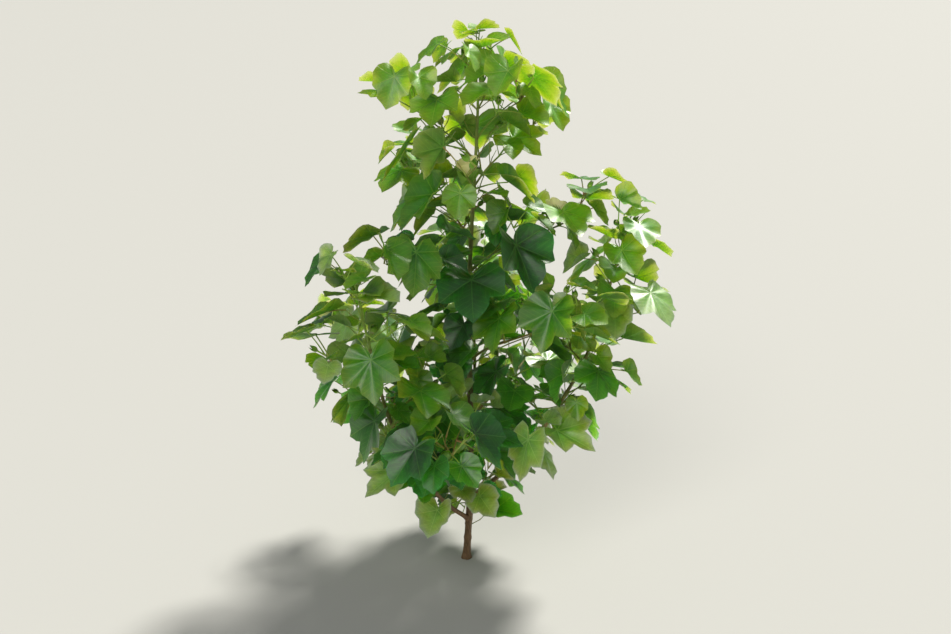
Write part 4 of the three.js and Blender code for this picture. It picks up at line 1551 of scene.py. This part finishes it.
def leaf_material(name, groups, blade, vein, under):
    """One face of a leaf: veins paler than the blade, a waxy sheen, dull below."""
    material, tree, shader = new_material(name)
    place = map_place(tree)
    middle = UNDER_MIDDLE if under else UPPER_MIDDLE
    veins = placed_group(tree, groups["veins"], place=place, middle=middle)
    tones = {"dark": darker(blade, 0.80), "light": darker(blade, 1.16)}
    mottle = placed_group(tree, groups["mottle"], place=place, scale=9.0, **tones)
    net = calculate(tree, "MULTIPLY", veins["Net"], 0.10 if under else 0.06)
    side = calculate(tree, "MULTIPLY", veins["Side"], 0.30)
    main = calculate(tree, "MULTIPLY", veins["Main"], 0.80)
    share = calculate(tree, "MAXIMUM", main, calculate(tree, "MAXIMUM", side, net))
    tone = blend(tree, share, mottle["Colour"], vein)
    rough = calculate(tree, "MULTIPLY_ADD", mottle["Noise"], 0.2, 0.52 if under else 0.36)
    waves = calculate(tree, "MULTIPLY", mottle["Noise"], 0.3)
    height = calculate(tree, "MULTIPLY_ADD", share, 1.0 if under else -1.0, waves)
    finish_surface(tree, shader, tone, rough, height, 0.5, 0.0012)
    let_light_through(shader, 0.45, 0.006, LEAF_LIGHT)
    shader.inputs["Coat Weight"].default_value = 0.0 if under else LEAF_COAT
    shader.inputs["Coat Roughness"].default_value = COAT_ROUGHNESS
    return material


def bark_material(name, groups, old, young, top):
    """Bark that is brown and grained at the foot and turns green with height."""
    material, tree, shader = new_material(name)
    place = object_place(tree)
    long = stretched(tree, place, (1.0, 1.0, 0.16))
    tones = {"dark": darker(old, 0.62), "light": darker(old, 1.3)}
    grain = placed_group(tree, groups["mottle"], place=long, scale=420.0, **tones)
    tones = {"dark": darker(young, 0.84), "light": darker(young, 1.14)}
    skin = placed_group(tree, groups["mottle"], place=long, scale=160.0, **tones)
    level = calculate(tree, "MULTIPLY_ADD", noise(tree, place, 34.0), -0.22, axis_of(tree, place, "Z"))
    tone = blend(tree, between_limits(tree, level, 0.05, top), grain["Colour"], skin["Colour"])
    specks = step(tree, "ShaderNodeTexVoronoi", {"Vector": long, "Scale": 300.0}, "Distance")
    dots = between_limits(tree, specks, 0.22, 0.14)
    tone = blend(tree, calculate(tree, "MULTIPLY", dots, 0.45), tone, colour(176, 160, 118))
    rough = calculate(tree, "MULTIPLY_ADD", grain["Noise"], 0.3, 0.45)
    height = calculate(tree, "MULTIPLY_ADD", dots, 0.3, grain["Noise"])
    finish_surface(tree, shader, tone, rough, height, 0.55, 0.0008)
    return material


def stalk_material(name, groups, skin, blush):
    """Green stalks that blush towards brown-red in blotches, with a soft shine."""
    material, tree, shader = new_material(name)
    place = object_place(tree)
    tones = {"dark": darker(skin, 0.85), "light": darker(skin, 1.15)}
    mottle = placed_group(tree, groups["mottle"], place=place, scale=70.0, **tones)
    patches = between_limits(tree, noise(tree, place, 11.0), 0.48, 0.72)
    tone = blend(tree, patches, mottle["Colour"], blush)
    rough = calculate(tree, "MULTIPLY_ADD", mottle["Noise"], 0.2, 0.38)
    finish_surface(tree, shader, tone, rough, mottle["Noise"], 0.3, 0.0004)
    return material


def graded_material(name, foot, tip, streaks, roughness, soft, depth=0.003):
    """Petals, bracts and bolls: one colour at the foot and another at the tip, along the
    shape's own map, with fine streaks that run with it."""
    material, tree, shader = new_material(name)
    place = map_place(tree)
    lines = noise(tree, stretched(tree, place, (1.0, 0.12, 1.0)), streaks)
    share = between_limits(tree, axis_of(tree, place, "Y"), 0.05, 0.55)
    tone = blend(tree, share, foot, tip)
    tone = blend(tree, between_limits(tree, lines, 0.4, 0.8), tone, darker(tip, 0.85))
    rough = calculate(tree, "MULTIPLY_ADD", lines, 0.15, roughness)
    finish_surface(tree, shader, tone, rough, lines, 0.35, 0.0006)
    let_light_through(shader, soft, depth, PETAL_LIGHT)
    return material


# Tints of leaves, dealt out by spray: upper face, under face and veins. Among them are a painted sheen
# tint and a painted shade tint.
TINTS = {
    "young_leaves": (colour(86, 164, 6), colour(100, 158, 34), colour(158, 204, 70)),
    "fresh_leaves": (colour(56, 140, 4), colour(78, 138, 28), colour(128, 186, 54)),
    "bright_leaves": (colour(46, 120, 6), colour(70, 122, 34), colour(114, 168, 58)),
    "green_leaves": (colour(24, 88, 8), colour(54, 104, 36), colour(88, 144, 52)),
    # Painted sheen: a pale cream-green tint that stands in for light glancing off the leaves
    "silver_leaves": (colour(114, 168, 80), colour(120, 164, 92), colour(168, 208, 124)),
    # Painted shade: the darkest tint, for sprays that lie low and inside the crown
    "deep_leaves": (colour(12, 56, 18), colour(40, 82, 38), colour(66, 114, 54)),
}


# Heights and reaches from the stem's foot at which the tints change
YOUNG_HEIGHT = 1.0
FRESH_HEIGHT = 0.78
MIDDLE_HEIGHT = 0.48
SHADED_REACH = 0.14
LOW_OUTER_REACH = 0.2


def tint_of(spray, number):
    """Which tint a spray has: youngest at the tips, and deeper further down and in, where the deepest
    tint is painted shade; the painted sheen tint is dealt in turn among the rest.
    """
    x, y, height = np.mean([leaf["joint"] for leaf in spray["leaves"]], axis=0)
    reach = math.hypot(x, y)
    finer = spray["name"] is None
    if (spray["name"] or "").endswith(("tip", "_top", "_16", "_15")) or height > YOUNG_HEIGHT:
        return "young_leaves"
    if height > FRESH_HEIGHT:
        # High sprays take fresh, bright, young and painted sheen tints in turn
        tints = ("fresh_leaves", "bright_leaves", "young_leaves", "silver_leaves")
        return tints[number % (3 if finer else 4)]
    if height > MIDDLE_HEIGHT:
        # Sprays inside the crown take the green tint or the painted shade tint in turn
        if reach < SHADED_REACH:
            return ("green_leaves", "deep_leaves")[number % 2]
        # Outer middle sprays take bright, green, painted sheen and fresh tints in turn
        return ("bright_leaves", "green_leaves", "silver_leaves", "fresh_leaves")[number % 4]
    if finer and reach > LOW_OUTER_REACH:
        return ("bright_leaves", "green_leaves", "fresh_leaves")[number % 3]
    # Low sprays take green, painted sheen and painted shade tints in turn
    return ("green_leaves", "silver_leaves", "deep_leaves")[number % 3]


# How far leaves may fold, twist and ruffle, as shares of their length
LEAST_BENDING = (-0.02, -0.07, -0.022)
MOST_BENDING = (0.18, 0.07, 0.025)

# Pieces
STALK_STEPS = 5
STALK_SIDES = 7
PETIOLE_BOW = 0.05
PETIOLE_SHARE = 0.78  # of the radius that the rule keeps clear
TWIG_COLLAR = 0.004
TWIG_SWELL = 1.3
STALK_SWELLS = ((0.35, 6), (0.25, 8))  # at foot and end: how much, and how soon it fades
SMALL_LEAF = 0.75  # of the full length: shorter leaves are pointed
SMALL_POINTS = 0.6  # of the full rim's points
INTO_BLADE = 0.8  # of a blade's thickness, where its stalk ends
INTO_FRUIT = 0.002
FRUIT_STALK_SHARE = 0.95
BOUGH_STEP = 1.4  # of the main stem's step


def arched(path, radii, bow, thinner):
    """A stalk's line bowed upwards, wider where it leaves the twig and where it ends."""
    start, end = np.asarray(path[0]), np.asarray(path[-1])
    rise = bow * np.linalg.norm(end - start)
    line, sizes = [], []
    for i in range(STALK_STEPS + 1):
        t = i / STALK_STEPS
        line.append(mix(start, end, t) + UP * rise * math.sin(math.pi * t) * (1.15 - 0.3 * t))
        (foot, fade), (end_swell, end_fade) = STALK_SWELLS
        swell = 1 + foot * math.exp(-fade * t) + end_swell * math.exp(-end_fade * (1 - t))
        sizes.append(mix(radii[0], radii[-1], t) * thinner * swell)
    return line, sizes


def jointed(path, radii):
    """A twig's line with a swelling at each of its joints."""
    line, sizes = [path[0]], [radii[0]]
    for i in range(1, len(path)):
        back = (path[i - 1] - path[i]) * TWIG_COLLAR / np.linalg.norm(path[i] - path[i - 1])
        line += [path[i] + back, path[i]]
        sizes += [radii[i], radii[i] * TWIG_SWELL]
        if i + 1 < len(path):
            onward = path[i + 1] - path[i]
            line.append(path[i] + onward * TWIG_COLLAR / np.linalg.norm(onward))
            sizes.append(radii[i])
    return line, sizes


def finish_piece(piece, slot, nodes=()):
    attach(piece, "root")
    if nodes:
        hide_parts(*nodes)


def bark_pieces(plant, materials):
    stem = mesh_object("stem_bark", *stem_mesh())
    stem.data.materials.append(materials["bark"])
    finish_piece(stem, "stem", ["main_stem"])
    for title, start in (("side_branch_bark", "side"), ("fruiting_branch_skin", "fruiting")):
        boughs = {name: bough for name, bough in plant.boughs.items() if name.startswith(start)}
        parts = [bough_mesh(*bough, number) for number, bough in enumerate(boughs.values())]
        piece = mesh_object(title, *joined(parts))
        piece.data.materials.append(materials["branch"])
        finish_piece(piece, "branches", boughs)


def leaf_pieces(plant, tree, materials):
    shapes = {
        "five_lobed": leaf_shape("five lobed", FIVE_LOBED, 1.0, FULL_RINGS),
        "three_lobed": leaf_shape("three lobed", THREE_LOBED, 1.0, FULL_RINGS),
        "pointed": leaf_shape("pointed", POINTED, SMALL_POINTS, SMALL_RINGS),
    }
    dealt = {}
    for number, spray in enumerate([*plant.masses.values(), *plant.finer]):
        if not spray["leaves"]:
            continue
        tint = tint_of(spray, number)
        for place, leaf in enumerate(spray["leaves"]):
            small = leaf["length"] < SMALL_LEAF * LEAF_LENGTH
            shape = "pointed" if small else ("five_lobed", "three_lobed")[(number + place) % 2]
            dealt.setdefault((tint, shape), []).append((leaf, spray["name"]))
    placed = set()
    chance = np.random.default_rng(SEED)
    for (tint, shape), chosen in dealt.items():
        leaves = [leaf for leaf, name in chosen]
        names = {name for leaf, name in chosen if name} - placed
        placed |= names
        title = tint + "_" + shape
        turns = [tuple(Matrix(leaf["frame"]).transposed().to_euler()) for leaf in leaves]
        vectors = {
            "turn": turns,
            "amounts": [leaf["shape"] for leaf in leaves],
            "bending": chance.uniform(LEAST_BENDING, MOST_BENDING, (len(leaves), 3)),
            "up": [leaf["frame"][2] for leaf in leaves],
        }
        places = [leaf["joint"] for leaf in leaves]
        host = points_object(title, places, [leaf["length"] for leaf in leaves], vectors)
        upper, under = materials[tint]
        piece = grown(title, host, tree, {"Shape": shapes[shape], "Upper": upper, "Under": under})
        finish_piece(piece, "leaves", sorted(names))
    for shape in shapes.values():
        bpy.data.objects.remove(shape)


def stalk_pieces(plant, tree, materials):
    twigs, petioles = [], []
    for spray in [*plant.masses.values(), *plant.finer]:
        twigs += [jointed(path, radii) for path, radii in spray["twigs"]]
        for (path, radii), leaf in zip(spray["stalks"], spray["leaves"]):
            end = path[1] - leaf["frame"][2] * BLADE_THICKNESS * leaf["length"] * INTO_BLADE
            petioles.append(arched([path[0], end], radii, PETIOLE_BOW, PETIOLE_SHARE))
        for fruit in spray["fruits"]:
            line = [fruit["from"], fruit["from"] + fruit["axis"] * (FRUIT_STALK + INTO_FRUIT)]
            petioles.append(arched(line, [FRUIT_STALK_RADIUS] * 2, 0.0, FRUIT_STALK_SHARE))
    for name, lines, slot in (("twigs", twigs, "branches"), ("petioles", petioles, "petioles")):
        values = {"Sides": STALK_SIDES, "Material": materials[name]}
        finish_piece(grown(name, lines_object(name, lines), tree, values), slot)


def fruit_pieces(plant, tree, materials):
    sprays = [*plant.masses.values(), *plant.finer]
    fruits = [fruit for spray in sprays for fruit in spray["fruits"]]
    kinds = {kind: [fruit for fruit in fruits if fruit["kind"] == kind] for kind in FORMS}
    candles = [fruit for fruit in kinds["bud"] if fruit["days"] > -CANDLE_DAYS]
    closed = [fruit for fruit in kinds["bud"] if fruit["days"] <= -CANDLE_DAYS]
    held = bracts_shape("held", 0.0085, 0.0042)
    wide = bracts_shape("open", 0.0150, 0.0175)
    spread = bracts_shape("spread", 0.0120, 0.0235, math.radians(60))
    plan = (
        ("bud_bracts", "bracts", kinds["bud"], held, "bracts"),
        ("boll_bracts", "bracts", kinds["boll"], wide, "bracts"),
        ("flower_bracts", "bracts", kinds["flower"], spread, "bracts"),
        ("closed_buds", "bracts", closed, closed_bud_shape("bud"), "buds"),
        ("candle_buds", "petals", candles, candle_shape("candle"), "petals"),
        ("petals", "petals", kinds["flower"], petals_shape("cup"), "petals"),
        ("stamens", "petals", kinds["flower"], stamens_shape("column"), "stamens"),
        ("bolls", "bolls", kinds["boll"], boll_shape("egg"), "bolls"),
    )
    for name, slot, chosen, shape, material in plan:
        turns = []
        for fruit in chosen:
            lean = Vector((0, 0, 1)).rotation_difference(Vector(fruit["axis"])).to_matrix()
            spin = Matrix.Rotation(math.radians(fruit["spin"]), 3, "Z")
            turns.append(tuple((lean @ spin).to_euler()))
        places = [fruit["from"] + fruit["axis"] * FRUIT_STALK for fruit in chosen]
        host = points_object(name, places, [fruit["size"] for fruit in chosen], {"turn": turns})
        values = {"Shape": shape, "Upper": materials[material], "Under": materials[material]}
        finish_piece(grown(name, host, tree, values), slot)
        bpy.data.objects.remove(shape)


# Bark: old and young colour, and the height where it is all young
BARKS = {
    "bark": ("stem bark", colour(126, 98, 66), colour(136, 154, 70), 0.8),
    "branch": ("branch bark", colour(132, 100, 66), colour(132, 152, 66), 0.6),
}
# Stalks: skin and blush
STALKS = {
    "twigs": ("twig skin", colour(134, 164, 62), colour(156, 108, 72)),
    "petioles": ("petiole skin", colour(150, 190, 70), colour(172, 122, 84)),
}
# Fruit: colour at foot and tip, fineness of the streaks, roughness, how much light passes
# and, where it isn't the usual, how deep
SKINS = {
    "bracts": ("bracts", colour(156, 196, 78), colour(122, 184, 44), 26.0, 0.5, 0.5),
    "buds": ("closed buds", colour(140, 166, 74), colour(206, 208, 146), 20.0, 0.45, 0.1),
    "petals": ("petals", colour(196, 214, 80), colour(255, 250, 178), 22.0, 0.5, 0.3, 0.0012),
    "stamens": ("stamens", colour(222, 214, 140), colour(238, 222, 132), 30.0, 0.6, 0.1),
    "bolls": ("bolls", colour(86, 142, 44), colour(104, 152, 56), 24.0, 0.36, 0.1),
}


def plant_materials():
    groups = {"veins": vein_group(), "mottle": mottle_group()}
    materials = {}
    for key, (name, *look) in BARKS.items():
        materials[key] = bark_material(name, groups, *look)
    for key, (name, *look) in STALKS.items():
        materials[key] = stalk_material(name, groups, *look)
    for key, look in SKINS.items():
        materials[key] = graded_material(*look)
    for tint, (blade, below, vein) in TINTS.items():
        upper = leaf_material(tint + " upper", groups, blade, vein, False)
        materials[tint] = (upper, leaf_material(tint + " under", groups, below, vein, True))
    return materials


# Floor, light and camera
CAMERA_PLACE = (0.06, -2.12, 1.25)
CAMERA_AIM = (0.02, 0.0, 0.56)
LENS = 41
FLOOR_TONE = colour(196, 196, 192)
FLOOR_RADIUS = 90
SKY_TONE = (0.88, 0.94, 1.0, 1.0)
SKY_STRENGTH = 0.16
LAMP_TONE = (1.0, 0.97, 0.90)
# Where each lamp shines from, its strength and how broad it is in degrees
LAMPS = {
    "sunny side": ((2.6, 3.6, 5.0), 4.3, 12),
    "near side": ((-1.6, -4.6, 4.0), 1.1, 30),
}


def make_floor():
    bpy.ops.mesh.primitive_circle_add(vertices=64, radius=FLOOR_RADIUS, fill_type="NGON")
    floor = bpy.context.object
    floor.name = "floor"
    material, _, shader = new_material("pale floor")
    shader.inputs["Base Color"].default_value = FLOOR_TONE
    shader.inputs["Roughness"].default_value = 0.9
    floor.data.materials.append(material)


def aimed(item, place, aim):
    item.location = place
    item.rotation_euler = (Vector(aim) - Vector(place)).to_track_quat("-Z", "Y").to_euler()
    return item


def make_light():
    world = bpy.data.worlds.new("studio")
    world.use_nodes = True
    sky = world.node_tree.nodes["Background"]
    sky.inputs["Color"].default_value = SKY_TONE
    sky.inputs["Strength"].default_value = SKY_STRENGTH
    bpy.context.scene.world = world
    bpy.context.scene.view_settings.view_transform = "Standard"
    for name, (place, power, spread) in LAMPS.items():
        light = bpy.data.lights.new(name, "SUN")
        light.energy = power
        light.angle = math.radians(spread)
        light.color = LAMP_TONE
        aimed(linked(name, light), place, (0, 0, 0))


def make_camera():
    camera = linked("camera", bpy.data.cameras.new("camera"))
    camera.data.lens = LENS
    bpy.context.scene.camera = aimed(camera, CAMERA_PLACE, CAMERA_AIM)


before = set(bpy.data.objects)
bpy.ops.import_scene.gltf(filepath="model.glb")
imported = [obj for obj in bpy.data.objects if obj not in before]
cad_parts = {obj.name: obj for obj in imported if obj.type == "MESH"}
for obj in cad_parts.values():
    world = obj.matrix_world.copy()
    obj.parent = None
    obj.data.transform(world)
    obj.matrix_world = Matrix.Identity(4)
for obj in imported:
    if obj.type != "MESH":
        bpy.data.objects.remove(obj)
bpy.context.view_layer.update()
make_floor()
make_light()
make_camera()
plant = grow_plant()
grow_finer_shoots(plant)
materials = plant_materials()
shapes_tree = shapes_on_points()
bark_pieces(plant, materials)
leaf_pieces(plant, shapes_tree, materials)
fruit_pieces(plant, shapes_tree, materials)
stalk_pieces(plant, stalks_on_lines(), materials)
